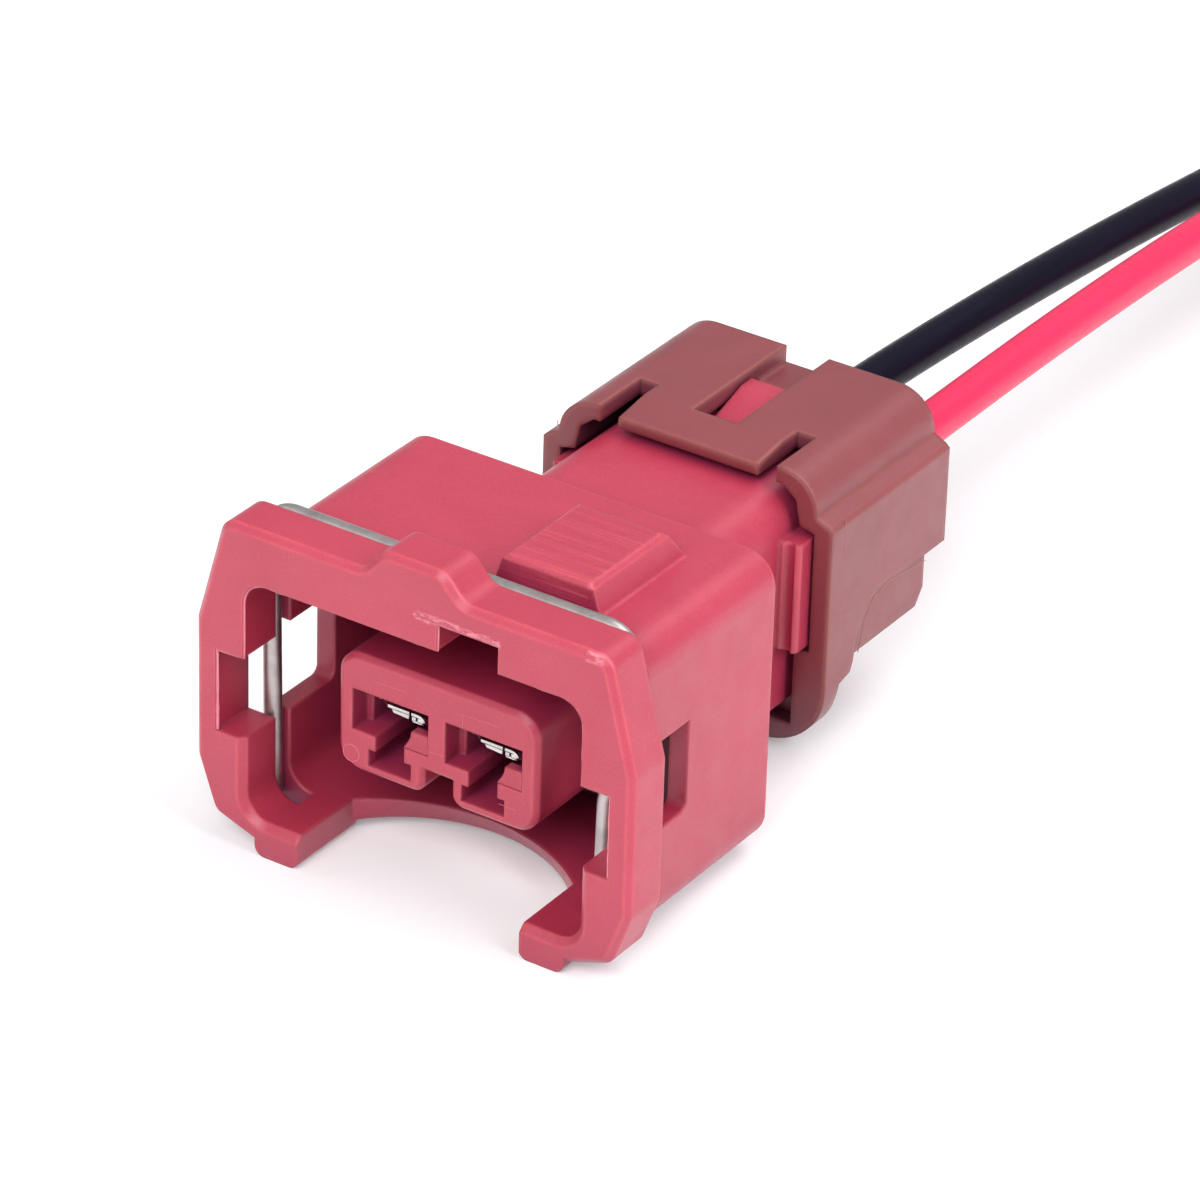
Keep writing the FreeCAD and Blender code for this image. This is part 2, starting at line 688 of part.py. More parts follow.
# Rear cap that closes the neck and holds the grommets
def build_cap():
    body = new_body("rear_cap")
    base = dim("cap_frame_base")
    shoulder = dim("cap_shoulder")
    ledge = dim("cap_ledge")
    ledge_level = cap_top - dim("cap_ledge_drop")
    turn = dim("cap_frame_round")
    inner = cap_half - ledge
    diagonal = 1 - math.sqrt(0.5)
    right = [
        (cap_half - turn, base),
        (cap_half, base + turn),
        (cap_half, ledge_level - ledge / 4),
        (cap_half - ledge / 4, ledge_level),
        (cap_half - ledge * 0.8, ledge_level + ledge / 4),
        (inner, cap_top - shoulder),
        (inner - shoulder, cap_top),
    ]
    left = [(-x, y) for x, y in reversed(right)]
    arcs = {
        0: (cap_half - turn * diagonal, base + turn * diagonal),
        5: (inner - shoulder * diagonal, cap_top - shoulder * diagonal),
        7: (-(inner - shoulder * diagonal), cap_top - shoulder * diagonal),
        12: (-(cap_half - turn * diagonal), base + turn * diagonal),
    }
    sketch = sketch_on(body, "CapOutline", "XZ_Plane", -cap_front)
    points = right[:6] + [right[6]] + [left[0]] + left[1:]
    arcs = {0: arcs[0], 5: arcs[5], 7: arcs[7], 12: arcs[12]}
    outline(sketch, points, arcs)
    pad(body, "Shell", sketch, length_overall - cap_front, reverse=True)

    # Side profile: front frame, stepped corner, skirt and rear lip
    frame_end = cap_front + dim("cap_frame_length")
    skirt = dim("cap_skirt_base")
    lip = dim("cap_lip_base")
    lip_start = length_overall - dim("cap_lip_length")
    step_end = frame_end + dim("cap_step_length")
    step = base + dim("cap_step_rise")
    reach = base - 2
    sketch = sketch_on(body, "SideProfile", "YZ_Plane", 0)
    outline(sketch, [
        (frame_end, reach),
        (length_overall + 1, reach),
        (length_overall + 1, lip),
        (lip_start, lip),
        (lip_start, skirt + 0.8),
        (lip_start - 0.6, skirt),
        (step_end, skirt),
        (step_end - 0.3, skirt - 0.6),
        (frame_end + 0.1, skirt - 0.8),
        (frame_end, step),
    ])
    pocket(body, "Underside", sketch, cap_half * 3, both=True)

    # Hollow for the neck and its wings, and the frame's deeper opening
    gap = dim("cap_clearance")
    roof = cap_top - dim("cap_plate")
    narrow = neck_half + gap * 3
    wide = wing_half + gap
    hollow = [
        (narrow, base + dim("cap_frame_bottom")),
        (narrow, wing_low - gap * 2),
        (wide, wing_low - gap * 2),
        (wide, wing_top + gap * 2),
        (narrow, wing_top + gap * 2 + 0.2),
        (narrow - 0.25, roof - 0.6),
        (narrow - 1.0, roof),
    ]
    sketch = sketch_on(body, "HollowOutline", "XZ_Plane", -cap_front)
    outline(sketch, mirrored_outline(hollow))
    pocket(body, "Hollow", sketch, cap_inner_end - cap_front)

    # Tongue between two slots, with the latch channel open to the rear
    sketch = sketch_on(body, "TongueSlots", "XY_Plane", cap_top + 1)
    tongue = dim("tongue_half_width")
    far = tongue + dim("tongue_slot")
    stop = cap_front + dim("tongue_length")
    rectangle(sketch, tongue, far, cap_front - 1, stop)
    rectangle(sketch, -far, -tongue, cap_front - 1, stop)
    pocket(body, "TongueSides", sketch, dim("cap_plate") + 1.05)
    sketch = sketch_on(body, "TongueSlope", "YZ_Plane", 0)
    outline(sketch, [
        (cap_front - 0.5, cap_top - dim("tongue_slope")),
        (cap_front, cap_top - dim("tongue_slope")),
        (cap_front + dim("tongue_bar"), cap_top),
        (cap_front + dim("tongue_bar"), cap_top + 0.5),
        (cap_front - 0.5, cap_top + 0.5),
    ])
    pocket(body, "TongueBar", sketch, tongue * 2, both=True)
    sketch = sketch_on(body, "ChannelPlan", "XY_Plane", cap_top + 1)
    half = dim("channel_half_width")
    rectangle(sketch, -half, half, cap_front + dim("channel_start"), length_overall + 1)
    pocket(body, "Channel", sketch, dim("cap_plate") + 1.05)

    # Wire holes in the rear wall
    for side, word in ((-1, "Left"), (1, "Right")):
        sketch = sketch_on(body, "WireHole" + word + "Circle", "XZ_Plane", -length_overall)
        circle(sketch, half_pitch * side, wire_axis, wire_radius + gap)
        pocket(body, "WireHole" + word, sketch, dim("cap_rear_wall") + 1, reverse=True)

    # Inset panels on the skirt's sides
    inset = dim("cap_panel_inset")
    for side, word in ((-1, "Left"), (1, "Right")):
        sketch = sketch_on(body, "Panel" + word, "YZ_Plane", (cap_half + 0.5) * side)
        begin = cap_front + dim("cap_panel_start")
        drop = lip - skirt
        outline(sketch, [
            (begin, lip),
            (begin - drop * 0.65, skirt - 0.5),
            (lip_start, skirt - 0.5),
            (lip_start, lip),
        ], {0: (begin - drop * 0.5, lip - drop * 0.5)})
        pocket(body, "PanelCut" + word, sketch, inset + 0.5, reverse=(side < 0))
    return body


# Stamped contact: folded box with a seam, bridge and crimp barrel
def build_contact(name, side):
    body = new_body(name)
    axis = half_pitch * side
    half = dim("contact_half_width")
    metal = dim("contact_sheet")
    low = cavity_low
    high = low + dim("contact_height")
    front = dim("tower_front") + dim("contact_setback")
    box_end = barrel_front - dim("contact_bridge")
    box_length = box_end - front
    sketch = sketch_on(body, "BoxOutline", "XZ_Plane", -front)
    rounded_rectangle(sketch, axis - half, axis + half, low, high, metal * 1.2)
    pad(body, "Box", sketch, box_length, reverse=True)
    sketch = sketch_on(body, "BladeHollow", "XZ_Plane", -front)
    rectangle(sketch, axis - half + metal, axis + half - metal, low + metal, high - metal)
    pocket(body, "Blade", sketch, box_length)
    sketch = sketch_on(body, "SeamOutline", "XZ_Plane", -front)
    seam = dim("contact_seam") / 2
    spot = axis + dim("contact_seam_shift")
    rectangle(sketch, spot - seam, spot + seam, high - metal * 1.5, high + 1)
    pocket(body, "Seam", sketch, box_length)
    sketch = sketch_on(body, "BridgeOutline", "XZ_Plane", -(box_end - 0.5))
    tongue = dim("contact_bridge_half")
    rectangle(sketch, axis - tongue, axis + tongue, low, low + metal)
    pad(body, "Bridge", sketch, dim("contact_bridge") + 1, reverse=True)
    sketch = sketch_on(body, "BarrelCircle", "XZ_Plane", -barrel_front)
    circle(sketch, axis, wire_axis, wire_axis - low)
    pad(body, "Barrel", sketch, dim("contact_barrel"), reverse=True)
    sketch = sketch_on(body, "BarrelBore", "XZ_Plane", -barrel_front)
    circle(sketch, axis, wire_axis, wire_radius + dim("wire_fit"))
    pocket(body, "Bore", sketch, dim("contact_barrel"))
    return body


# Ribbed rubber grommet round each wire
def build_grommet(name, side):
    body = new_body(name)
    start = grommet_front
    sketch = sketch_on(body, "Section", "XY_Plane", wire_axis, half_pitch * side)
    rib = dim("grommet_rib")
    outer = dim("grommet_diameter") / 2
    waist = dim("grommet_body") / 2
    bore = wire_radius + dim("wire_fit")
    collar = (dim("grommet_length") - rib * 2) / 2
    points = [(bore, start), (waist, start), (waist, start + collar)]
    for number in range(2):
        low = start + collar + rib * number
        points += [(outer, low + rib / 2), (waist, low + rib)]
    points += [(waist, start + dim("grommet_length")), (bore, start + dim("grommet_length"))]
    outline(sketch, points)
    feature = body.newObject("PartDesign::Revolution", "Turned")
    feature.Profile = sketch
    feature.ReferenceAxis = (sketch, ["V_Axis"])
    feature.Angle = 360
    finished(body, feature, True)
    return body


# Rubber ring round the tower's root
def build_interface_seal():
    body = new_body("interface_seal")
    front = dim("seal_front")
    length = hood_back - front
    margin = dim("seal_margin")
    half = hood_inner - margin
    middle = (tower_low + tower_top) / 2
    rise = dim("seal_height") / 2
    sketch = sketch_on(body, "RingOutline", "XZ_Plane", -front)
    rounded_rectangle(sketch, -half, half, middle - rise, middle + rise, dim("seal_corner"))
    pad(body, "Ring", sketch, length, reverse=True)
    sketch = sketch_on(body, "TowerHole", "XZ_Plane", -front)
    fit = dim("seal_fit")
    across = tower_half + fit
    low, high = tower_low - fit, tower_top + fit
    rounded_rectangle(sketch, -across, across, low, high, dim("tower_corner"))
    pocket(body, "Hole", sketch, length)
    return body


# A round rod along straight runs joined by tangent arcs
def rod(points, diameter, radii=None):
    bends = []
    for number in range(1, len(points) - 1):
        before, here, after = points[number - 1], points[number], points[number + 1]
        ahead = (after - here).normalize()
        behind = (before - here).normalize()
        turn = math.pi - behind.getAngle(ahead)
        if radii is None:
            reach = 0.45 * min(before.distanceToPoint(here), after.distanceToPoint(here))
            radius = reach / math.tan(turn / 2)
        else:
            radius = radii[number - 1]
            reach = radius * math.tan(turn / 2)
        middle = (ahead + behind).normalize()
        depth = radius / math.cos(turn / 2) - radius
        bends.append((here + behind * reach, here + middle * depth, here + ahead * reach, radius))
    edges = []
    spot = points[0]
    for start, middle, stop, radius in bends:
        edges.append(Part.LineSegment(spot, start).toShape())
        edges.append(Part.Arc(start, middle, stop).toShape())
        spot = stop
    edges.append(Part.LineSegment(spot, points[-1]).toShape())
    path = Part.Wire(edges)
    profile = Part.Wire([Part.makeCircle(diameter / 2, points[0], points[1] - points[0])])
    solid = path.makePipeShell([profile], True, False)
    section = math.pi * diameter * diameter / 4
    return solid, path.Length, [bend[3] for bend in bends], solid.Volume / (section * path.Length)


def feature_from(name, solid):
    feature = doc.addObject("Part::Feature", name)
    feature.Label = name
    feature.Shape = solid
    return feature


# Spring clip: crown across the top, legs down the slots, toes turned in
def build_clip():
    y = clip_middle.value
    span = (hood_half - dim("clip_inset")).value
    crown = clip_crown.value
    low = dim("clip_leg_end").value
    toe = dim("clip_toe_in").value
    knee = low + 0.42 * (crown - low)
    points = [
        V(-span + 0.2, y, low),
        V(-span + 0.05, y, crown),
        V(span + 0.05, y, crown),
        V(span - toe, y, knee),
        V(span - toe - 0.1, y, low),
    ]
    bend = dim("clip_bend").value
    solid, length, radii, share = rod(points, dim("clip_wire").value, [bend] * 3)
    print("wire_clip: length %.1f, volume share %.4f" % (length, share))
    return feature_from("wire_clip", solid)


# The two wires: straight through grommet and cap, converging, then lying on the surface
ROUTE = (
    (0.0, 35.0, 0.0),
    (-0.55, 54.5, -0.5),
    (-1.15, 74.5, -2.0),
    (-1.25, 95.0, -4.7),
    (-1.1, 115.5, -7.275),
    (-0.85, 134.5, -7.275),
)


def build_wire(name, side):
    radius = wire_radius.value
    axis = half_pitch.value * side
    level = wire_axis.value
    drop = level - radius
    lowest = ROUTE[-1][2]
    points = [V(axis, (barrel_rear - dim("wire_crimp")).value, level)]
    for inward, along, fall in ROUTE:
        across = axis + inward * side
        points.append(V(across, along, level + drop * fall / -lowest))
    solid, length, radii, share = rod(points, dim("wire_diameter").value)
    text = ", ".join("%.0f" % bend for bend in radii)
    print("%s: length %.1f, bend radii %s, volume share %.4f" % (name, length, text, share))
    print("   ends", points[0], points[-1])
    return feature_from(name, solid)


pieces = [
    build_housing(),
    build_cap(),
    build_interface_seal(),
    build_contact("contact_left", -1),
    build_contact("contact_right", 1),
    build_grommet("wire_seal_left", -1),
    build_grommet("wire_seal_right", 1),
    build_clip(),
    build_wire("wire_black", -1),
    build_wire("wire_red", 1),
]
for piece in pieces:
    bind(piece, "Placement.Base.y", -(length_overall / 2))
doc.recompute()

for thing in doc.Objects:
    if "Invalid" in thing.State or "Error" in thing.State:
        raise ValueError("failed object: " + thing.Name)
for piece in pieces:
    if piece.Shape.isNull() or not piece.Shape.isValid() or len(piece.Shape.Solids) != 1:
        raise ValueError("bad shape: " + piece.Label)

os.makedirs("parts", exist_ok=True)
for piece in pieces:
    piece.Shape.exportStep("parts/" + piece.Label + ".step")
    box = piece.Shape.BoundBox
    print("%-16s volume %8.1f  x %.2f %.2f  y %.2f %.2f  z %.2f %.2f" % (
        piece.Label, piece.Shape.Volume, box.XMin, box.XMax, box.YMin, box.YMax, box.ZMin, box.ZMax))
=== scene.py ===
import math

import bmesh
import bpy
import mathutils.noise
from mathutils import Matrix, Vector


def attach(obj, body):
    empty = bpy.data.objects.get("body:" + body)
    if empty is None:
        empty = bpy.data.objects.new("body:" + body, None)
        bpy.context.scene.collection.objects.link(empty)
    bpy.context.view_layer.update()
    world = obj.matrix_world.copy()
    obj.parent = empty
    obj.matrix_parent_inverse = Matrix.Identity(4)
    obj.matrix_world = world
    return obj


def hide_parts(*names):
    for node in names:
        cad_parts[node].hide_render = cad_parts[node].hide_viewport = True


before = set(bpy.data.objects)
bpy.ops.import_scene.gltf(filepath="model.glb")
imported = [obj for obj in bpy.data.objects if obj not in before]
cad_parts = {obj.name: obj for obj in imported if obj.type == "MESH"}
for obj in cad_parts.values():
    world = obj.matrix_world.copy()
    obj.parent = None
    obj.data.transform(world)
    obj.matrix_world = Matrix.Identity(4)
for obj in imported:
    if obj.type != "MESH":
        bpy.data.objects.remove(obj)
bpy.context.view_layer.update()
scene = bpy.context.scene
scene.view_settings.view_transform = "Standard"

# Lengths are in millimetres in the shared frame and times MM where Blender takes them.
# A name that ends in _M is in metres. Angles are in degrees.
MM = 0.001
SIDES = (-1, 1)
FLANGE_FRONT = -16.0
TOWER_FACE = -13.9
CAVITY_OFFSET = 2.5
WIRE_LEVEL = 8.3

# Camera, solved from the photograph's edges
CAMERA_SENSOR = 36.0
CAMERA_LENS = 195.0
CAMERA_NEAREST_M = 0.01
CAMERA_FURTHEST_M = 20.0
CAMERA_TURN = 33.05
CAMERA_TILT = 29.87
CAMERA_ROLL = 1.77
CAMERA_PLACE = (138.747, -214.367, 155.228)


def add_camera():
    data = bpy.data.cameras.new("camera")
    data.sensor_width = CAMERA_SENSOR
    data.lens = CAMERA_LENS
    data.clip_start = CAMERA_NEAREST_M
    data.clip_end = CAMERA_FURTHEST_M
    turn = math.radians(CAMERA_TURN)
    tilt = math.radians(CAMERA_TILT)
    roll = math.radians(CAMERA_ROLL)
    ahead = Vector((-math.sin(turn) * math.cos(tilt), math.cos(turn) * math.cos(tilt), -math.sin(tilt)))
    level = Vector((math.cos(turn), math.sin(turn), 0.0))
    upward = level.cross(ahead)
    right = level * math.cos(roll) + upward * math.sin(roll)
    up = -level * math.sin(roll) + upward * math.cos(roll)
    camera = bpy.data.objects.new("camera", data)
    bpy.context.collection.objects.link(camera)
    basis = Matrix((right, up, -ahead)).transposed().to_4x4()
    basis.translation = Vector(CAMERA_PLACE) * MM
    camera.matrix_world = basis
    scene.camera = camera


add_camera()


# Node graph helpers
def new_material(name):
    material = bpy.data.materials.new(name)
    material.use_nodes = True
    tree = material.node_tree
    tree.nodes.clear()
    output = tree.nodes.new("ShaderNodeOutputMaterial")
    return material, tree, output


# Material with one Principled shader, and the object's own places to lay textures out by
def new_surface(name):
    material, tree, output = new_material(name)
    coords = node(tree, "ShaderNodeTexCoord").outputs["Object"]
    shader = node(tree, "ShaderNodeBsdfPrincipled")
    tree.links.new(shader.outputs["BSDF"], output.inputs["Surface"])
    return material, tree, coords, shader


def node(tree, kind, **settings):
    made = tree.nodes.new(kind)
    for key, value in settings.items():
        setattr(made, key, value)
    return made


def noise(tree, vector, scale=1.0, detail=3.0, rough=0.5, distortion=0.0):
    made = node(tree, "ShaderNodeTexNoise")
    made.inputs["Scale"].default_value = scale
    made.inputs["Detail"].default_value = detail
    made.inputs["Roughness"].default_value = rough
    made.inputs["Distortion"].default_value = distortion
    tree.links.new(vector, made.inputs["Vector"])
    return made.outputs["Fac"]


def stretched(tree, vector, scale):
    made = node(tree, "ShaderNodeMapping")
    made.inputs["Scale"].default_value = scale
    tree.links.new(vector, made.inputs["Vector"])
    return made.outputs["Vector"]


def ramp(tree, value, span, out=(0.0, 1.0)):
    made = node(tree, "ShaderNodeMapRange")
    made.inputs["From Min"].default_value, made.inputs["From Max"].default_value = span
    made.inputs["To Min"].default_value, made.inputs["To Max"].default_value = out
    tree.links.new(value, made.inputs["Value"])
    return made.outputs["Result"]


# Feeds a socket from another node's output, or gives it a constant
def feed(tree, socket, value):
    if isinstance(value, bpy.types.NodeSocket):
        tree.links.new(value, socket)
    else:
        socket.default_value = value


def mixed(tree, factor, first, second):
    made = node(tree, "ShaderNodeMix", data_type="RGBA")
    for key, value in (("Factor", factor), ("A", first), ("B", second)):
        feed(tree, made.inputs[key], value)
    return made.outputs["Result"]


def maths(tree, operation, first, second, clamp=False):
    made = node(tree, "ShaderNodeMath", operation=operation, use_clamp=clamp)
    feed(tree, made.inputs[0], first)
    feed(tree, made.inputs[1], second)
    return made.outputs["Value"]


def bump(tree, height, strength, distance, normal=None):
    made = node(tree, "ShaderNodeBump")
    made.inputs["Strength"].default_value = strength
    made.inputs["Distance"].default_value = distance
    tree.links.new(height, made.inputs["Height"])
    if normal is not None:
        tree.links.new(normal, made.inputs["Normal"])
    return made.outputs["Normal"]


def rgb(red, green, blue):
    return (red, green, blue, 1.0)


# One inside a box of the object's own places, falling to nothing over fade
def zone(tree, coords, low, high, fade):
    apart = node(tree, "ShaderNodeSeparateXYZ")
    tree.links.new(coords, apart.inputs["Vector"])
    inside = None
    for output, least, most in zip(apart.outputs, low, high):
        past_low = ramp(tree, output, ((least - fade) * MM, least * MM))
        before_high = ramp(tree, output, (most * MM, (most + fade) * MM), (1.0, 0.0))
        within = maths(tree, "MULTIPLY", past_low, before_high)
        inside = within if inside is None else maths(tree, "MULTIPLY", inside, within)
    return inside


# Most of what a noise texture gives lies in this span
CLOUD_SPAN = (0.3, 0.7)

# Noise textures of the plastics. Scales count per metre, and a stretched one has a scale for each axis.
HIGHLIGHT_AND_WEAR_NOISE = {"scale": 420.0, "detail": 4.0, "rough": 0.6}
MOTTLE_NOISE = {"scale": 160.0, "detail": 5.0, "rough": 0.6, "distortion": 0.4}
GRAIN_NOISE = {"scale": 9000.0, "detail": 2.0, "rough": 0.6}
SHEEN_NOISE = {"scale": 700.0, "detail": 4.0, "rough": 0.6}
SCUFF_NOISE = {"detail": 5.0, "rough": 0.7}
SCUFF_STRETCH = (1500.0, 3000.0, 4200.0)
COMB_NOISE = {"detail": 4.0, "rough": 0.65}
COMB_STRETCH = (90.0, 4200.0, 4200.0)

# Painted highlight on rounded edges, broken up like wear: cosine between the flat and rounded surfaces, where
# an edge starts and where it is full. The second span is the least and most of the painted highlight that its
# wear noise leaves.
BEVEL_SAMPLES = 4
EDGE_COSINES = (0.995, 0.93)
EDGE_HIGHLIGHT_AND_WEAR = (0.35, 1.0)

# Painted shade in deep places: how far open air is looked for, how little of it is deep and how much is open,
# and the factors of the colour that paint the shade where it is deep
OPEN_AIR_SAMPLES = 2
OPEN_AIR_REACH_M = 0.006
OPEN_AIR_SPAN = (0.05, 0.6)
PAINTED_SHADE_TINT = (0.5, 0.55, 1.0)

# Fine grain with its pale speckle, and gloss. A SHARPEST or DULLEST value is added to a material's roughness.
GRAIN_STRENGTH = 0.3
GRAIN_DEPTH_M = 0.00002
SPECKLE_SPAN = (0.4, 0.75)
SPECKLE_SHARE = 0.12
SHEEN_SHARPEST = -0.05
SHEEN_DULLEST = 0.07
PLASTIC_IOR = 1.5
PLASTIC_GLOSS = 0.7

# Scuffed places, and places combed with fine lines along x. Each fades out over its FADE.
SCUFFED = rgb(0.78, 0.24, 0.30)
SCUFF_SPAN = (0.44, 0.58)
SCUFF_FADE = 0.15
SCUFF_DULLING = 0.2
SCUFF_STRENGTH = 0.5
SCUFF_DEPTH_M = 0.00004
COMB_FADE = 0.3
COMB_STRENGTH = 0.7
COMB_DEPTH_M = 0.00012
COMB_PALE_SPAN = (0.5, 0.75)
COMB_PALE_SHARE = 0.35


# How much of the edge colour shows on a rounded edge as a painted highlight, less where its wear noise is low
def edge_highlight_and_wear(tree, coords, rounded, edge_highlight_gain):
    geometry = node(tree, "ShaderNodeNewGeometry")
    cosine = node(tree, "ShaderNodeVectorMath", operation="DOT_PRODUCT")
    tree.links.new(rounded.outputs["Normal"], cosine.inputs[0])
    tree.links.new(geometry.outputs["True Normal"], cosine.inputs[1])
    highlit_rim = ramp(tree, cosine.outputs["Value"], EDGE_COSINES)
    patchiness = ramp(tree, noise(tree, coords, **HIGHLIGHT_AND_WEAR_NOISE), CLOUD_SPAN, EDGE_HIGHLIGHT_AND_WEAR)
    return maths(tree, "MULTIPLY", maths(tree, "MULTIPLY", highlit_rim, patchiness), edge_highlight_gain, clamp=True)


# Paints shade into the colour: a darker, bluer copy of the base where little open air is near
def paint_shade_where_deep(tree, colour, base):
    open_air = node(tree, "ShaderNodeAmbientOcclusion", samples=OPEN_AIR_SAMPLES)
    open_air.inputs["Distance"].default_value = OPEN_AIR_REACH_M
    painted_shade = rgb(*(channel * tint for channel, tint in zip(base, PAINTED_SHADE_TINT)))
    return mixed(tree, ramp(tree, open_air.outputs["AO"], OPEN_AIR_SPAN), painted_shade, colour)


# Moulded plastic: softly rounded edges with a painted highlight that wear breaks up, fine grain, slow
# mottling, painted shade in deep places, and boxes of it that are scuffed or combed with fine lines along x
def moulded(name, base, shade, edge, roughness, radius, edge_highlight_gain=0.6, scuffs=(), combs=()):
    material, tree, coords, shader = new_surface(name)
    rounded = node(tree, "ShaderNodeBevel", samples=BEVEL_SAMPLES)
    rounded.inputs["Radius"].default_value = radius * MM
    highlit_rim = edge_highlight_and_wear(tree, coords, rounded, edge_highlight_gain)
    mottling = ramp(tree, noise(tree, coords, **MOTTLE_NOISE), CLOUD_SPAN)
    fine = noise(tree, coords, **GRAIN_NOISE)
    speckle = ramp(tree, fine, SPECKLE_SPAN, (0.0, SPECKLE_SHARE))
    colour = mixed(tree, mottling, base, shade)
    colour = mixed(tree, speckle, colour, edge)
    # Painted highlight: the edge colour on rounded edges
    colour = mixed(tree, highlit_rim, colour, edge)
    # Painted shade in recesses
    colour = paint_shade_where_deep(tree, colour, base)
    sheen_out = (roughness + SHEEN_SHARPEST, roughness + SHEEN_DULLEST)
    dullness = ramp(tree, noise(tree, coords, **SHEEN_NOISE), CLOUD_SPAN, sheen_out)
    normal = bump(tree, fine, GRAIN_STRENGTH, GRAIN_DEPTH_M, rounded.outputs["Normal"])
    for low, high in scuffs:
        patches = noise(tree, stretched(tree, coords, SCUFF_STRETCH), **SCUFF_NOISE)
        rubbed = ramp(tree, patches, SCUFF_SPAN)
        rubbed = maths(tree, "MULTIPLY", rubbed, zone(tree, coords, low, high, SCUFF_FADE))
        colour = mixed(tree, rubbed, colour, SCUFFED)
        dullness = maths(tree, "ADD", dullness, maths(tree, "MULTIPLY", rubbed, SCUFF_DULLING))
        normal = bump(tree, rubbed, SCUFF_STRENGTH, SCUFF_DEPTH_M, normal)
    for low, high in combs:
        lines = noise(tree, stretched(tree, coords, COMB_STRETCH), **COMB_NOISE)
        combed = maths(tree, "MULTIPLY", lines, zone(tree, coords, low, high, COMB_FADE))
        pale = maths(tree, "MULTIPLY", ramp(tree, combed, COMB_PALE_SPAN), COMB_PALE_SHARE)
        colour = mixed(tree, pale, colour, edge)
        normal = bump(tree, combed, COMB_STRENGTH, COMB_DEPTH_M, normal)
    tree.links.new(colour, shader.inputs["Base Color"])
    tree.links.new(dullness, shader.inputs["Roughness"])
    tree.links.new(normal, shader.inputs["Normal"])
    shader.inputs["IOR"].default_value = PLASTIC_IOR
    shader.inputs["Specular IOR Level"].default_value = PLASTIC_GLOSS
    return material


# Metal: dull specks of grime, and lines that show in its gloss and bump
METAL_GRIME = rgb(0.08, 0.07, 0.06)
METAL_LINE_NOISE = {"detail": 4.0, "rough": 0.6}
METAL_DULL_NOISE = {"scale": 900.0, "detail": 4.0, "rough": 0.6}
METAL_DULL_SPAN = (0.45, 0.75)
METAL_DULL_SHARE = 0.35
METAL_SHARPEST = -0.06
METAL_DULLEST = 0.1
METAL_LINE_STRENGTH = 0.4
METAL_LINE_DEPTH_M = 0.00001


# Metal with fine drawn or rolled lines, which lie along the axis whose streak is low
def metal(name, base, roughness, streak):
    material, tree, coords, shader = new_surface(name)
    lines = noise(tree, stretched(tree, coords, streak), **METAL_LINE_NOISE)
    dull = ramp(tree, noise(tree, coords, **METAL_DULL_NOISE), METAL_DULL_SPAN, (0.0, METAL_DULL_SHARE))
    dullness = ramp(tree, lines, CLOUD_SPAN, (roughness + METAL_SHARPEST, roughness + METAL_DULLEST))
    shader.inputs["Metallic"].default_value = 1.0
    tree.links.new(mixed(tree, dull, base, METAL_GRIME), shader.inputs["Base Color"])
    tree.links.new(dullness, shader.inputs["Roughness"])
    tree.links.new(bump(tree, lines, METAL_LINE_STRENGTH, METAL_LINE_DEPTH_M), shader.inputs["Normal"])
    return material


# Rubber: slow clouding and fine grain
RUBBER_ROUGHNESS = 0.6
RUBBER_CLOUD_NOISE = {"scale": 500.0, "detail": 4.0, "rough": 0.6}
RUBBER_GRAIN_NOISE = {"scale": 6000.0, "detail": 2.0}
RUBBER_GRAIN_STRENGTH = 0.5
RUBBER_GRAIN_DEPTH_M = 0.00002


def rubber(name, base, shade):
    material, tree, coords, shader = new_surface(name)
    cloud = ramp(tree, noise(tree, coords, **RUBBER_CLOUD_NOISE), CLOUD_SPAN)
    grain = noise(tree, coords, **RUBBER_GRAIN_NOISE)
    tree.links.new(mixed(tree, cloud, base, shade), shader.inputs["Base Color"])
    shader.inputs["Roughness"].default_value = RUBBER_ROUGHNESS
    tree.links.new(bump(tree, grain, RUBBER_GRAIN_STRENGTH, RUBBER_GRAIN_DEPTH_M), shader.inputs["Normal"])
    return material


# Insulation: clouding and drawing lines stretched along y, and fine scuffs
PVC_CLOUD_NOISE = {"detail": 4.0, "rough": 0.6}
PVC_CLOUD_STRETCH = (900.0, 60.0, 900.0)
PVC_SCUFF_NOISE = {"scale": 2500.0, "detail": 4.0, "rough": 0.7}
PVC_SCUFF_SPAN = (0.35, 0.75)
PVC_DULLEST = 0.16
PVC_LINE_NOISE = {"detail": 3.0, "rough": 0.6}
PVC_LINE_STRETCH = (7000.0, 130.0, 7000.0)
PVC_SCUFF_HEIGHT = 0.5
PVC_BUMP_STRENGTH = 0.3
PVC_BUMP_DEPTH_M = 0.00002
PVC_COAT_ROUGHNESS = 0.2


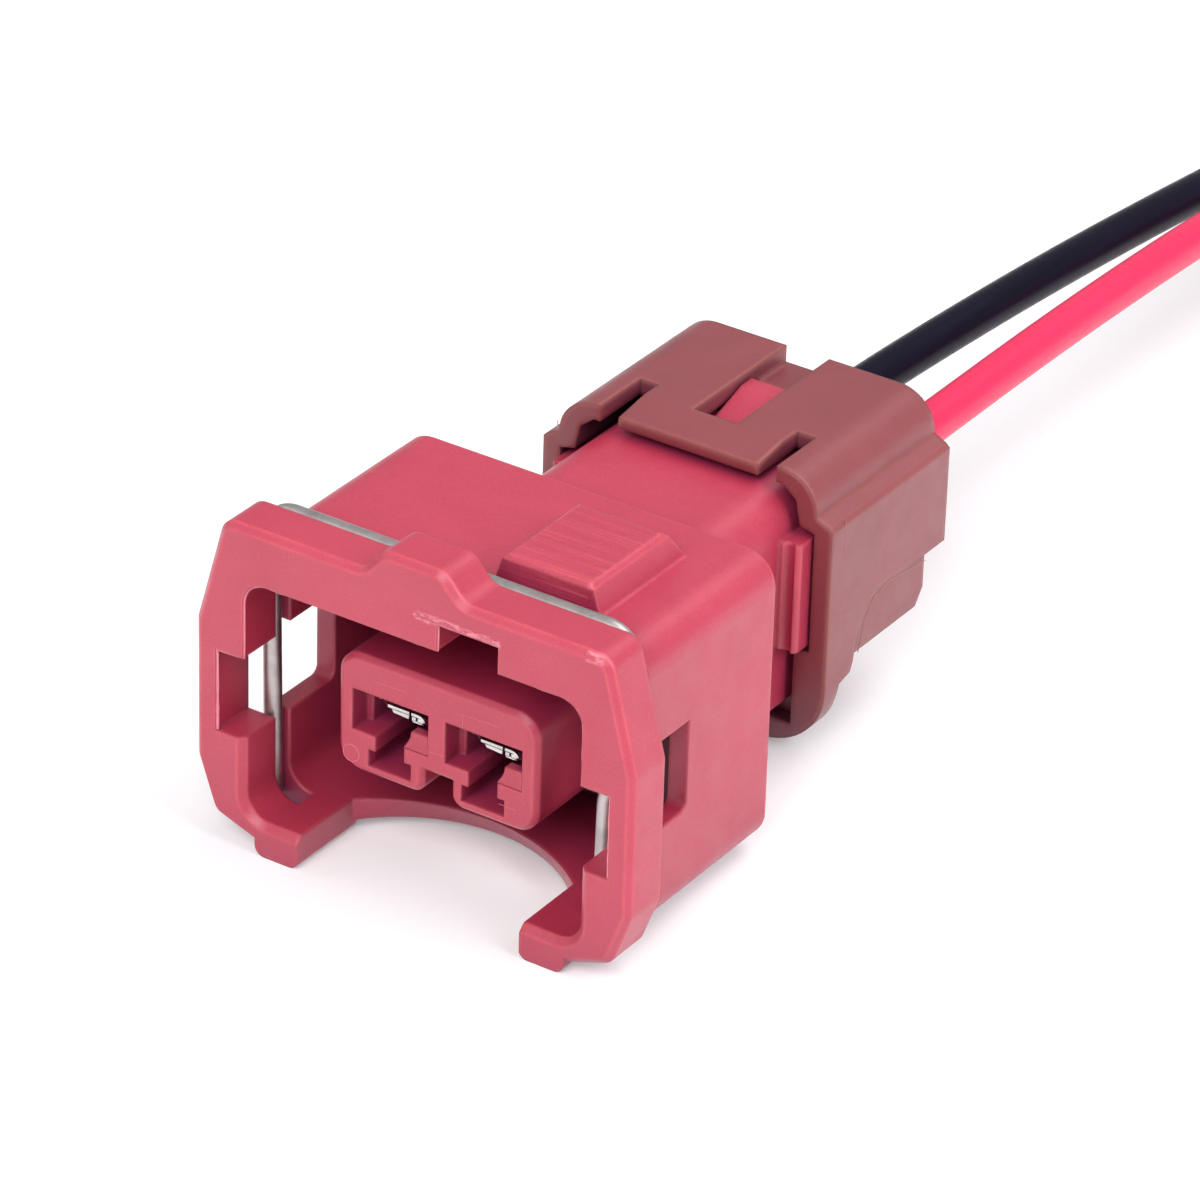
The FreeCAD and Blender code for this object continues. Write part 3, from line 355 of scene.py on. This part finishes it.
# Wire insulation: extruded PVC with faint lines along it
def insulation(name, base, shade, roughness, coat, gloss):
    material, tree, coords, shader = new_surface(name)
    cloud = ramp(tree, noise(tree, stretched(tree, coords, PVC_CLOUD_STRETCH), **PVC_CLOUD_NOISE), CLOUD_SPAN)
    scuffs = noise(tree, coords, **PVC_SCUFF_NOISE)
    dullness = ramp(tree, scuffs, PVC_SCUFF_SPAN, (roughness, roughness + PVC_DULLEST))
    lines = noise(tree, stretched(tree, coords, PVC_LINE_STRETCH), **PVC_LINE_NOISE)
    height = maths(tree, "ADD", lines, maths(tree, "MULTIPLY", scuffs, PVC_SCUFF_HEIGHT))
    tree.links.new(mixed(tree, cloud, base, shade), shader.inputs["Base Color"])
    tree.links.new(dullness, shader.inputs["Roughness"])
    tree.links.new(bump(tree, height, PVC_BUMP_STRENGTH, PVC_BUMP_DEPTH_M), shader.inputs["Normal"])
    shader.inputs["Coat Weight"].default_value = coat
    shader.inputs["Coat Roughness"].default_value = PVC_COAT_ROUGHNESS
    shader.inputs["Specular IOR Level"].default_value = gloss
    return material


# Places on the housing that rubbing has paled, and the block with its fine lines, as (low, high) corners
KEYWAY_SCUFF = ((0.2, -16.1, 15.22), (4.6, -15.5, 15.48))
CORNER_SCUFF = ((9.1, -16.1, 16.2), (9.8, -15.8, 16.45))
BLOCK_COMB = ((0.2, -12.6, 15.5), (6.0, -5.0, 17.2))

# Each edge colour below is the painted highlight on rounded edges, and also the pale of the speckle and the
# combed lines
housing_plastic = moulded(
    "housing_plastic",
    base=rgb(0.48, 0.034, 0.074),
    shade=rgb(0.42, 0.026, 0.060),
    edge=rgb(0.88, 0.145, 0.165),
    roughness=0.42,
    radius=0.26,
    scuffs=(KEYWAY_SCUFF, CORNER_SCUFF),
    combs=(BLOCK_COMB,),
)
cap_plastic = moulded(
    "cap_plastic",
    base=rgb(0.245, 0.045, 0.056),
    shade=rgb(0.20, 0.034, 0.044),
    edge=rgb(0.44, 0.12, 0.075),
    roughness=0.42,
    radius=0.42,
)

# Thin raised trim has hardly any rounding
TRIM = {"radius": 0.03, "edge_highlight_gain": 0.3}
# Pale flash round the mouth: its colour is a painted highlight on the flash
flash_and_highlight_plastic = moulded(
    "flash_and_highlight_plastic",
    base=rgb(0.84, 0.25, 0.31),
    shade=rgb(0.72, 0.15, 0.21),
    edge=rgb(0.9, 0.4, 0.45),
    roughness=0.35,
    **TRIM,
)
line_plastic = moulded(
    "line_plastic",
    base=rgb(0.74, 0.15, 0.20),
    shade=rgb(0.66, 0.11, 0.16),
    edge=rgb(0.85, 0.28, 0.33),
    roughness=0.38,
    **TRIM,
)
cap_flash = moulded(
    "cap_flash",
    base=rgb(0.40, 0.12, 0.10),
    shade=rgb(0.34, 0.09, 0.08),
    edge=rgb(0.6, 0.3, 0.22),
    roughness=0.38,
    **TRIM,
)

clip_steel = metal("clip_steel", rgb(0.48, 0.44, 0.43), roughness=0.42, streak=(5000.0, 5000.0, 300.0))
contact_tin = metal("contact_tin", rgb(0.56, 0.54, 0.52), roughness=0.26, streak=(900.0, 9000.0, 9000.0))
copper = metal("copper", rgb(0.82, 0.42, 0.26), roughness=0.25, streak=(4000.0, 400.0, 4000.0))
seal_rubber = rubber("seal_rubber", rgb(0.115, 0.022, 0.034), rgb(0.085, 0.016, 0.026))
grommet_rubber = rubber("grommet_rubber", rgb(0.30, 0.07, 0.03), rgb(0.25, 0.055, 0.025))
black_pvc = insulation(
    "black_pvc",
    base=rgb(0.004, 0.003, 0.010),
    shade=rgb(0.008, 0.006, 0.017),
    roughness=0.30,
    coat=0.0,
    gloss=0.07,
)
red_pvc = insulation(
    "red_pvc",
    base=rgb(0.82, 0.020, 0.10),
    shade=rgb(0.76, 0.015, 0.085),
    roughness=0.40,
    coat=0.05,
    gloss=0.45,
)

for name, material in (
    ("housing", housing_plastic),
    ("rear_cap", cap_plastic),
    ("wire_clip", clip_steel),
    ("interface_seal", seal_rubber),
    ("wire_seal_left", grommet_rubber),
    ("wire_seal_right", grommet_rubber),
):
    carried_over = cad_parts[name]
    carried_over.data.materials.clear()
    carried_over.data.materials.append(material)


def mesh_object(name, builder, material, smooth=True):
    mesh = bpy.data.meshes.new(name)
    working = bmesh.new()
    builder(working)
    bmesh.ops.recalc_face_normals(working, faces=working.faces)
    working.to_mesh(mesh)
    working.free()
    mesh.materials.append(material)
    for face in mesh.polygons:
        face.use_smooth = smooth
    made = bpy.data.objects.new(name, mesh)
    bpy.context.collection.objects.link(made)
    return made


# The two wires, on the same route as the solids: out from the cavity's middle line, back from the flange's
# front, and up from the wires' level in the cap
WIRE_RADIUS = 1.025
WIRE_ROUND_STEPS = 10
WIRE_LENGTH_STEPS = 24
ROUTE = (
    (0.0, 15.6, 0.0),
    (0.0, 35.0, 0.0),
    (-0.55, 54.5, -0.5),
    (-1.15, 74.5, -2.0),
    (-1.25, 95.0, -4.7),
    (-1.1, 115.5, -7.275),
    (-0.85, 134.5, -7.275),
)

# Cut copper strands that show at a wire's far end: one in the middle, then rings of (count, distance out)
STRAND_RINGS = ((6, 0.235), (12, 0.45))
STRAND_RADIUS = 0.112
STRAND_LENGTH = 0.34
STRAND_SIDES = 12
STRAND_SHIFT = -0.16


def route_point(side, outward, back, rise):
    return (side * (CAVITY_OFFSET + outward), back + FLANGE_FRONT, WIRE_LEVEL + rise)


def add_strands(name, side):
    end = Vector(route_point(side, *ROUTE[-1]))

    def build(working):
        spots = [(0.0, 0.0)]
        for count, reach in STRAND_RINGS:
            for number in range(count):
                angle = math.tau * number / count
                spots.append((reach * math.cos(angle), reach * math.sin(angle)))
        for across, level in spots:
            place = Matrix.Translation((end + Vector((across, STRAND_SHIFT, level))) * MM)
            place = place @ Matrix.Rotation(math.pi / 2, 4, "X")
            bmesh.ops.create_cone(working, cap_ends=True, segments=STRAND_SIDES, radius1=STRAND_RADIUS * MM,
                                  radius2=STRAND_RADIUS * MM, depth=STRAND_LENGTH * MM, matrix=place)

    made = mesh_object(name, build, copper)
    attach(made, "connector")
    return made


def add_wire(name, node_name, side, material):
    curve = bpy.data.curves.new(name, "CURVE")
    curve.dimensions = "3D"
    curve.bevel_depth = WIRE_RADIUS * MM
    curve.bevel_resolution = WIRE_ROUND_STEPS
    curve.resolution_u = WIRE_LENGTH_STEPS
    curve.use_fill_caps = True
    spline = curve.splines.new("NURBS")
    spline.points.add(len(ROUTE) - 1)
    for point, place in zip(spline.points, ROUTE):
        x, y, z = route_point(side, *place)
        point.co = (x * MM, y * MM, z * MM, 1.0)
    spline.order_u = 3
    spline.use_endpoint_u = True
    curve.materials.append(material)
    wire = bpy.data.objects.new(name, curve)
    bpy.context.collection.objects.link(wire)
    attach(wire, "connector")
    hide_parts(node_name)
    ends = add_strands(name + "_strands", side)


add_wire("black_wire", "wire_black", -1, black_pvc)
add_wire("red_wire", "wire_red", 1, red_pvc)


# Strip of sheet metal along y, between two lines of (x, z) points, with its own front end for each point
def bent_sheet(working, line, inner, starts, stop):
    rows = []
    for ends in (starts, [stop] * len(line)):
        rows.append([
            [working.verts.new(Vector((x, y, z)) * MM) for (x, z), y in zip(path, ends)]
            for path in (line, inner)
        ])
    front, rear = rows
    for number in range(len(line) - 1):
        for near, far in zip(front, rear):
            working.faces.new((near[number], near[number + 1], far[number + 1], far[number]))
        for outside, inside in rows:
            working.faces.new((outside[number], outside[number + 1], inside[number + 1], inside[number]))
    for number in (0, -1):
        working.faces.new((front[0][number], front[1][number], rear[1][number], rear[0][number]))


# Outline of (x, z) points drawn out along y
def prism(working, outline, front, rear):
    near = [working.verts.new(Vector((x, front, z)) * MM) for x, z in outline]
    far = [working.verts.new(Vector((x, rear, z)) * MM) for x, z in outline]
    working.faces.new(near)
    working.faces.new(far)
    for corner in range(len(outline)):
        working.faces.new((near[corner - 1], near[corner], far[corner], far[corner - 1]))


def arc(middle, radius, start, stop, steps):
    angles = [math.radians(start + (stop - start) * step / steps) for step in range(steps + 1)]
    return [(middle[0] + radius * math.cos(angle), middle[1] + radius * math.sin(angle)) for angle in angles]


def moved(outline, middle):
    return [(middle + x, z) for x, z in outline]


def mirrored(outline, side):
    return [(side * x, z) for x, z in outline]


def clamped(value):
    return min(1.0, max(0.0, value))


# Stamped contact. Its x places count from the cavity's middle. The folded box has a seam in its roof, and its
# roof reaches furthest forward: its floor and its left side start further back. A corner of its section is
# which way across, which way up, and the angle that its turn starts at.
BOX_HALF_WIDTH = 1.5
BOX_FLOOR = 6.9
BOX_ROOF = 8.4
BOX_TURN = 0.42
BOX_TURN_STEPS = 4
BOX_CORNERS = ((1, 1, 90), (1, -1, 0), (-1, -1, -90), (-1, 1, -180))
BOX_SHEET = 0.14
BOX_SEAM = 0.66
BOX_SEAM_HALF_GAP = 0.06
BOX_ROOF_POINT = -0.55
BOX_FRONT = -13.3
BOX_REAR = -4.3
FLOOR_SETBACK = 1.7
FLOOR_SLOPE_TOP = 8.05
FLOOR_SLOPE_HEIGHT = 0.9
LEFT_SETBACK = 0.6
LEFT_SLOPE_START = -0.6
LEFT_SLOPE_WIDTH = 0.7

# Lips folded down from the roof on both sides of the seam, the right one with a slot, and what they hang from
LIPS = (
    ((-0.34, 8.21), (-0.26, 8.07), (0.56, 8.02), (0.58, 8.21)),
    ((0.74, 8.21), (0.74, 8.02), (0.94, 8.01), (0.94, 8.21)),
    ((1.05, 8.21), (1.05, 8.01), (1.34, 8.02), (1.34, 8.21)),
    ((0.78, 8.04), (0.78, 7.95), (1.34, 7.95), (1.34, 8.04)),
)
LIP_ROOTS = (
    ((-0.3, 8.1), (0.58, 8.1), (0.58, 8.27), (-0.3, 8.27)),
    ((0.74, 8.1), (1.34, 8.1), (1.34, 8.27), (0.74, 8.27)),
)
LIP_FRONT = -13.28
LIP_ROOT_FRONT = -13.05
LIP_REAR = -12.7

# Spring tongue inside the box, as (y, z) points from its root to its tip
TONGUE_LINE = ((-5.2, 7.1), (-7.0, 7.3), (-9.2, 7.68), (-10.2, 7.74), (-11.0, 7.6), (-11.5, 7.34))
TONGUE_HALF_WIDTH = 0.55

# Bridge behind the box, first a channel and then a flat strip, and the two crimps on it
CHANNEL_OUTSIDE = ((-0.95, 7.7), (-0.95, 7.1), (-0.8, 6.92), (0.8, 6.92), (0.95, 7.1), (0.95, 7.7))
CHANNEL_INSIDE = ((-0.77, 7.7), (-0.77, 7.16), (-0.7, 7.1), (0.7, 7.1), (0.77, 7.16), (0.77, 7.7))
CHANNEL_FRONT = -4.9
CHANNEL_REAR = -2.2
STRIP_UNDERSIDE = ((-0.8, 6.93), (0.8, 6.93))
STRIP_TOP = ((-0.8, 7.12), (0.8, 7.12))
STRIP_FRONT = -2.5
STRIP_REAR = 1.0
CRIMPS = ((-2.45, 0.2), (0.75, 2.85))
CRIMP_RADIUS = 1.38
CRIMP_BORE_RADIUS = 1.16
CRIMP_FROM = 97
CRIMP_TO = 443
CRIMP_STEPS = 20


# Section of the box, from one side of its seam round to the other
def box_line(middle, inset):
    level = (BOX_ROOF + BOX_FLOOR) / 2
    reach = BOX_HALF_WIDTH - BOX_TURN
    rise = (BOX_ROOF - BOX_FLOOR) / 2 - BOX_TURN
    roof = BOX_ROOF - inset
    seam = middle + BOX_SEAM
    line = [(seam + BOX_SEAM_HALF_GAP, roof)]
    for across, upward, start in BOX_CORNERS:
        spot = (middle + across * reach, level + upward * rise)
        line += arc(spot, BOX_TURN - inset, start, start - 90, BOX_TURN_STEPS)
    return line + [(middle + BOX_ROOF_POINT, roof), (seam - BOX_SEAM_HALF_GAP, roof)]


# Where the box's front edge lies at a point of its section
def box_front(middle, x, z):
    down = clamped((FLOOR_SLOPE_TOP - z) / FLOOR_SLOPE_HEIGHT)
    left = clamped((middle + LEFT_SLOPE_START - x) / LEFT_SLOPE_WIDTH)
    return BOX_FRONT + FLOOR_SETBACK * down + LEFT_SETBACK * left


def build_tongue(working, middle):
    section = ((-TONGUE_HALF_WIDTH, 0), (TONGUE_HALF_WIDTH, 0),
               (TONGUE_HALF_WIDTH, BOX_SHEET), (-TONGUE_HALF_WIDTH, BOX_SHEET))
    rows = []
    for along, level in TONGUE_LINE:
        rows.append([
            working.verts.new(Vector((middle + across, along, level + lift)) * MM) for across, lift in section
        ])
    for first, second in zip(rows, rows[1:]):
        for corner in range(len(section)):
            working.faces.new((first[corner], first[corner - 1], second[corner - 1], second[corner]))
    working.faces.new(rows[0])
    working.faces.new(rows[-1])


def build_crimp(working, middle, front, rear):
    spot = (middle, WIRE_LEVEL)
    outside = arc(spot, CRIMP_RADIUS, CRIMP_FROM, CRIMP_TO, CRIMP_STEPS)
    inside = arc(spot, CRIMP_BORE_RADIUS, CRIMP_FROM, CRIMP_TO, CRIMP_STEPS)
    bent_sheet(working, outside, inside, [front] * len(outside), rear)


def add_contact(name, node_name, side):
    middle = side * CAVITY_OFFSET

    def build(working):
        outside = box_line(middle, 0.0)
        inside = box_line(middle, BOX_SHEET)
        bent_sheet(working, outside, inside, [box_front(middle, x, z) for x, z in outside], BOX_REAR)
        for lip in LIPS:
            prism(working, moved(lip, middle), LIP_FRONT, LIP_REAR)
        for root in LIP_ROOTS:
            prism(working, moved(root, middle), LIP_ROOT_FRONT, LIP_REAR)
        build_tongue(working, middle)
        bent_sheet(working, moved(CHANNEL_OUTSIDE, middle), moved(CHANNEL_INSIDE, middle),
                   [CHANNEL_FRONT] * len(CHANNEL_OUTSIDE), CHANNEL_REAR)
        for front, rear in CRIMPS:
            build_crimp(working, middle, front, rear)
        bent_sheet(working, moved(STRIP_UNDERSIDE, middle), moved(STRIP_TOP, middle),
                   [STRIP_FRONT] * len(STRIP_TOP), STRIP_REAR)

    made = mesh_object(name, build, contact_tin, smooth=False)
    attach(made, "connector")
    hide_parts(node_name)


add_contact("terminal_left", "contact_left", -1)
add_contact("terminal_right", "contact_right", 1)

# Threads are fine raised lines. A ragged one is cut into steps, and its thickness follows a noise.
THREAD_SIDES = 6
RAGGED_STEP = 0.35
RAGGED_SCALE = 1.7
FORWARD = (0.0, -1.0, 0.0)


# Thread along a line of points on a face whose outward direction is given
def thread(working, points, out, radius, closed=False, ragged=0.0):
    out = Vector(out).normalized()
    corners = [Vector(point) for point in points]
    if closed:
        corners.append(corners[0])
    spots = []
    for first, second in zip(corners, corners[1:]):
        parts = max(1, round((second - first).length / RAGGED_STEP)) if ragged else 1
        spots += [first.lerp(second, part / parts) for part in range(parts)]
    if not closed:
        spots.append(corners[-1])
    rings = []
    count = len(spots)
    for number, spot in enumerate(spots):
        after = spots[(number + 1) % count] if closed or number < count - 1 else spot
        before = spots[number - 1] if closed or number else spot
        aside = (after - before).normalized().cross(out)
        size = radius * (1.0 + ragged * mathutils.noise.noise(spot * RAGGED_SCALE))
        rings.append([
            working.verts.new((spot + (aside * math.cos(angle) + out * math.sin(angle)) * size) * MM)
            for angle in (math.tau * corner / THREAD_SIDES for corner in range(THREAD_SIDES))
        ])
    pairs = list(zip(rings, rings[1:]))
    if closed:
        pairs.append((rings[-1], rings[0]))
    for first, second in pairs:
        for corner in range(THREAD_SIDES):
            working.faces.new((first[corner - 1], first[corner], second[corner], second[corner - 1]))
    if not closed:
        working.faces.new(rings[0])
        working.faces.new(rings[-1])


# Lance finger in the right lower corner of each cavity's mouth, with fine ribs on its face.
# A rib is its height and where it starts.
FINGER_OUTLINE = (
    (2.03, 6.91), (2.03, 7.86), (1.13, 7.86), (1.10, 7.6),
    (1.0, 7.36), (0.87, 7.14), (0.76, 6.98), (0.76, 6.91),
)
FINGER_FRONT = TOWER_FACE + 0.03
FINGER_REAR = TOWER_FACE + 0.55
FINGER_RIBS = ((7.12, 0.95), (7.28, 1.03), (7.44, 1.1), (7.6, 1.14), (7.76, 1.16))
FINGER_RIB_END = 1.98
FINGER_RIB_RADIUS = 0.018


def build_fingers(working):
    for side in SIDES:
        middle = side * CAVITY_OFFSET
        prism(working, moved(FINGER_OUTLINE, middle), FINGER_FRONT, FINGER_REAR)
        for level, start in FINGER_RIBS:
            ends = [(middle + x, FINGER_FRONT, level) for x in (start, FINGER_RIB_END)]
            thread(working, ends, FORWARD, FINGER_RIB_RADIUS)


# Ejector pin's ring, and the raised lines that the cavity inserts left on the tower's face, as (x, z) points
EJECTOR_MIDDLE = (-4.58, 5.64)
EJECTOR_RADIUS = 0.43
EJECTOR_STEP = 15
EJECTOR_THREAD = 0.028
INSERT_MIDDLES = (-2.5, 2.45)
INSERT_CORNER = ((-1.07, 9.05), (-1.07, 9.72), (0.8, 9.8))
INSERT_THREAD = 0.02
BETWEEN_LINE = ((-0.43, 7.2), (0.43, 7.28))
LOW_LINE = ((3.36, 5.9), (4.3, 5.9))
LOW_THREAD = 0.016


def tower_thread(working, line, radius, closed=False):
    thread(working, [(x, TOWER_FACE, z) for x, z in line], FORWARD, radius, closed=closed)


def build_tower_marks(working):
    last = 360 - EJECTOR_STEP
    ring = arc(EJECTOR_MIDDLE, EJECTOR_RADIUS, 0, last, last // EJECTOR_STEP)
    tower_thread(working, ring, EJECTOR_THREAD, closed=True)
    for middle in INSERT_MIDDLES:
        tower_thread(working, moved(INSERT_CORNER, middle), INSERT_THREAD)
    tower_thread(working, BETWEEN_LINE, INSERT_THREAD)
    tower_thread(working, LOW_LINE, LOW_THREAD)


# Thin flash where the mould halves met round the mouth: each side up to its rounded corner, and the keyway
# The flash's pale colour is a painted highlight along the mouth's edge
FLASH_PLACE = -15.895
MOUTH_SIDE = ((10.46, 5.74), (10.46, 9.86), (9.0, 9.9), (9.0, 12.7))
MOUTH_CORNER = (7.8, 12.7)
MOUTH_CORNER_RADIUS = 1.2
MOUTH_CORNER_FROM = 15
MOUTH_CORNER_STEPS = 6
MOUTH_TOP = ((6.6, 13.9),)
MOUTH_THREAD = 0.07
MOUTH_RAGGED = 0.45
KEYWAY_LINE = ((-1.5, 13.9), (1.385, 13.9), (1.385, 15.2), (4.575, 15.2), (4.575, 13.9), (6.6, 13.9))
KEYWAY_THREAD = 0.06
KEYWAY_RAGGED = 0.5


def build_mouth_flash(working):
    corner = arc(MOUTH_CORNER, MOUTH_CORNER_RADIUS, MOUTH_CORNER_FROM, 90, MOUTH_CORNER_STEPS)
    edge = [*MOUTH_SIDE, *corner, *MOUTH_TOP]
    for side in SIDES:
        line = [(x, FLASH_PLACE, z) for x, z in mirrored(edge, side)]
        thread(working, line, FORWARD, MOUTH_THREAD, ragged=MOUTH_RAGGED)
    keyway = [(x, FLASH_PLACE, z) for x, z in KEYWAY_LINE]
    thread(working, keyway, FORWARD, KEYWAY_THREAD, ragged=KEYWAY_RAGGED)


# Parting lines of the cap's mould on its sides, as (y, z) points
CAP_SIDE = 7.89
CAP_LINES = (
    ((6.95, 12.3), (6.95, 7.2), (9.87, 7.18)),
    ((8.62, 4.55), (9.03, 5.88), (9.82, 6.95), (11.23, 7.2), (14.33, 6.81)),
)
CAP_THREAD = 0.022


def build_cap_lines(working):
    for side in SIDES:
        for line in CAP_LINES:
            thread(working, [(side * CAP_SIDE, y, z) for y, z in line], (side, 0, 0), CAP_THREAD)


# Web that closes the cap's front frame under the neck, and a short way up its sides
WEB_FLOOR = ((-6.14, 2.5), (6.14, 2.5), (6.14, 1.46), (-6.14, 1.46))
WEB_SIDE = ((5.71, 5.4), (6.14, 5.4), (6.14, 2.45), (5.71, 2.45))
WEB_FRONT = 6.6
WEB_REAR = 6.9


def build_web(working):
    prism(working, WEB_FLOOR, WEB_FRONT, WEB_REAR)
    for side in SIDES:
        prism(working, mirrored(WEB_SIDE, side), WEB_FRONT, WEB_REAR)


for name, builder, material, slot in (
    ("cap_web", build_web, cap_plastic, "cap_brown_red"),
    ("lance_fingers", build_fingers, housing_plastic, "housing_red"),
    ("tower_marks", build_tower_marks, line_plastic, "housing_red"),
    ("mouth_flash", build_mouth_flash, flash_and_highlight_plastic, "housing_red"),
    ("cap_lines", build_cap_lines, cap_flash, "cap_brown_red"),
):
    detail = mesh_object(name, builder, material, smooth=False)
    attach(detail, "connector")

# White floor: a little of its own light for the camera and for what mirrors it, none for the object
FLOOR_WHITE = rgb(0.80, 0.80, 0.81)
FLOOR_CLOUD = rgb(0.81, 0.81, 0.82)
FLOOR_NOISE = {"scale": 40.0}
FLOOR_SEEN = 0.22
FLOOR_MIRRORED = 0.45
FLOOR_HALF_SIZE_M = 3.0
FLOOR_DROP_M = 0.00001


def add_floor():
    material, tree, output = new_material("floor")
    coords = node(tree, "ShaderNodeTexCoord").outputs["Object"]
    cloud = ramp(tree, noise(tree, coords, **FLOOR_NOISE), CLOUD_SPAN)
    diffuse = node(tree, "ShaderNodeBsdfDiffuse")
    tree.links.new(mixed(tree, cloud, FLOOR_WHITE, FLOOR_CLOUD), diffuse.inputs["Color"])
    path = node(tree, "ShaderNodeLightPath")
    seen = maths(tree, "MULTIPLY", path.outputs["Is Camera Ray"], FLOOR_SEEN)
    in_mirrors = maths(tree, "MULTIPLY", path.outputs["Is Glossy Ray"], FLOOR_MIRRORED)
    glow = node(tree, "ShaderNodeEmission")
    tree.links.new(maths(tree, "ADD", seen, in_mirrors), glow.inputs["Strength"])
    both = node(tree, "ShaderNodeAddShader")
    tree.links.new(diffuse.outputs["BSDF"], both.inputs[0])
    tree.links.new(glow.outputs["Emission"], both.inputs[1])
    tree.links.new(both.outputs["Shader"], output.inputs["Surface"])

    def build(working):
        bmesh.ops.create_grid(working, x_segments=2, y_segments=2, size=FLOOR_HALF_SIZE_M)

    floor = mesh_object("floor", build, material)
    floor.location.z = -FLOOR_DROP_M


# Surroundings: white for the camera, partly for mirrors, and soft light for everything else
WORLD_SOFT = rgb(0.93, 0.95, 1.0)
WORLD_SOFT_STRENGTH = 0.30
WORLD_WHITE = rgb(1.0, 1.0, 1.0)
WORLD_WHITE_STRENGTH = 1.0
WORLD_MIRRORED = 0.3


def add_world():
    world = bpy.data.worlds.new("world")
    scene.world = world
    world.use_nodes = True
    tree = world.node_tree
    tree.nodes.clear()
    output = tree.nodes.new("ShaderNodeOutputWorld")
    soft = node(tree, "ShaderNodeBackground")
    soft.inputs["Color"].default_value = WORLD_SOFT
    soft.inputs["Strength"].default_value = WORLD_SOFT_STRENGTH
    white = node(tree, "ShaderNodeBackground")
    white.inputs["Color"].default_value = WORLD_WHITE
    white.inputs["Strength"].default_value = WORLD_WHITE_STRENGTH
    path = node(tree, "ShaderNodeLightPath")
    seen = maths(tree, "MAXIMUM", path.outputs["Is Camera Ray"], path.outputs["Is Transmission Ray"])
    in_mirrors = maths(tree, "MULTIPLY", path.outputs["Is Glossy Ray"], WORLD_MIRRORED)
    mix = node(tree, "ShaderNodeMixShader")
    tree.links.new(maths(tree, "MAXIMUM", seen, in_mirrors), mix.inputs["Fac"])
    tree.links.new(soft.outputs["Background"], mix.inputs[1])
    tree.links.new(white.outputs["Background"], mix.inputs[2])
    tree.links.new(mix.outputs["Shader"], output.inputs["Surface"])


# Soft lamps: name, place, what it points at and size, all in metres, and power in watts
LAMPS = (
    ("top_softbox", (0.12, 0.16, 0.42), (0.0, 0.0, 0.0), (0.40, 0.30), 1.0),
    ("left_softbox", (-0.42, -0.12, 0.26), (0.0, 0.0, 0.01), (0.25, 0.25), 0.3),
    ("right_softbox", (0.42, -0.02, 0.30), (0.0, 0.0, 0.01), (0.25, 0.30), 1.35),
    ("front_softbox", (0.06, -0.40, 0.38), (0.0, 0.0, 0.01), (0.40, 0.30), 2.3),
)


def add_lamp(name, place, target, size, power):
    data = bpy.data.lights.new(name, "AREA")
    data.shape = "RECTANGLE"
    data.size, data.size_y = size
    data.energy = power
    lamp = bpy.data.objects.new(name, data)
    bpy.context.collection.objects.link(lamp)
    lamp.location = place
    lamp.rotation_euler = (Vector(target) - Vector(place)).to_track_quat("-Z", "Y").to_euler()


add_floor()
add_world()
for lamp in LAMPS:
    add_lamp(*lamp)
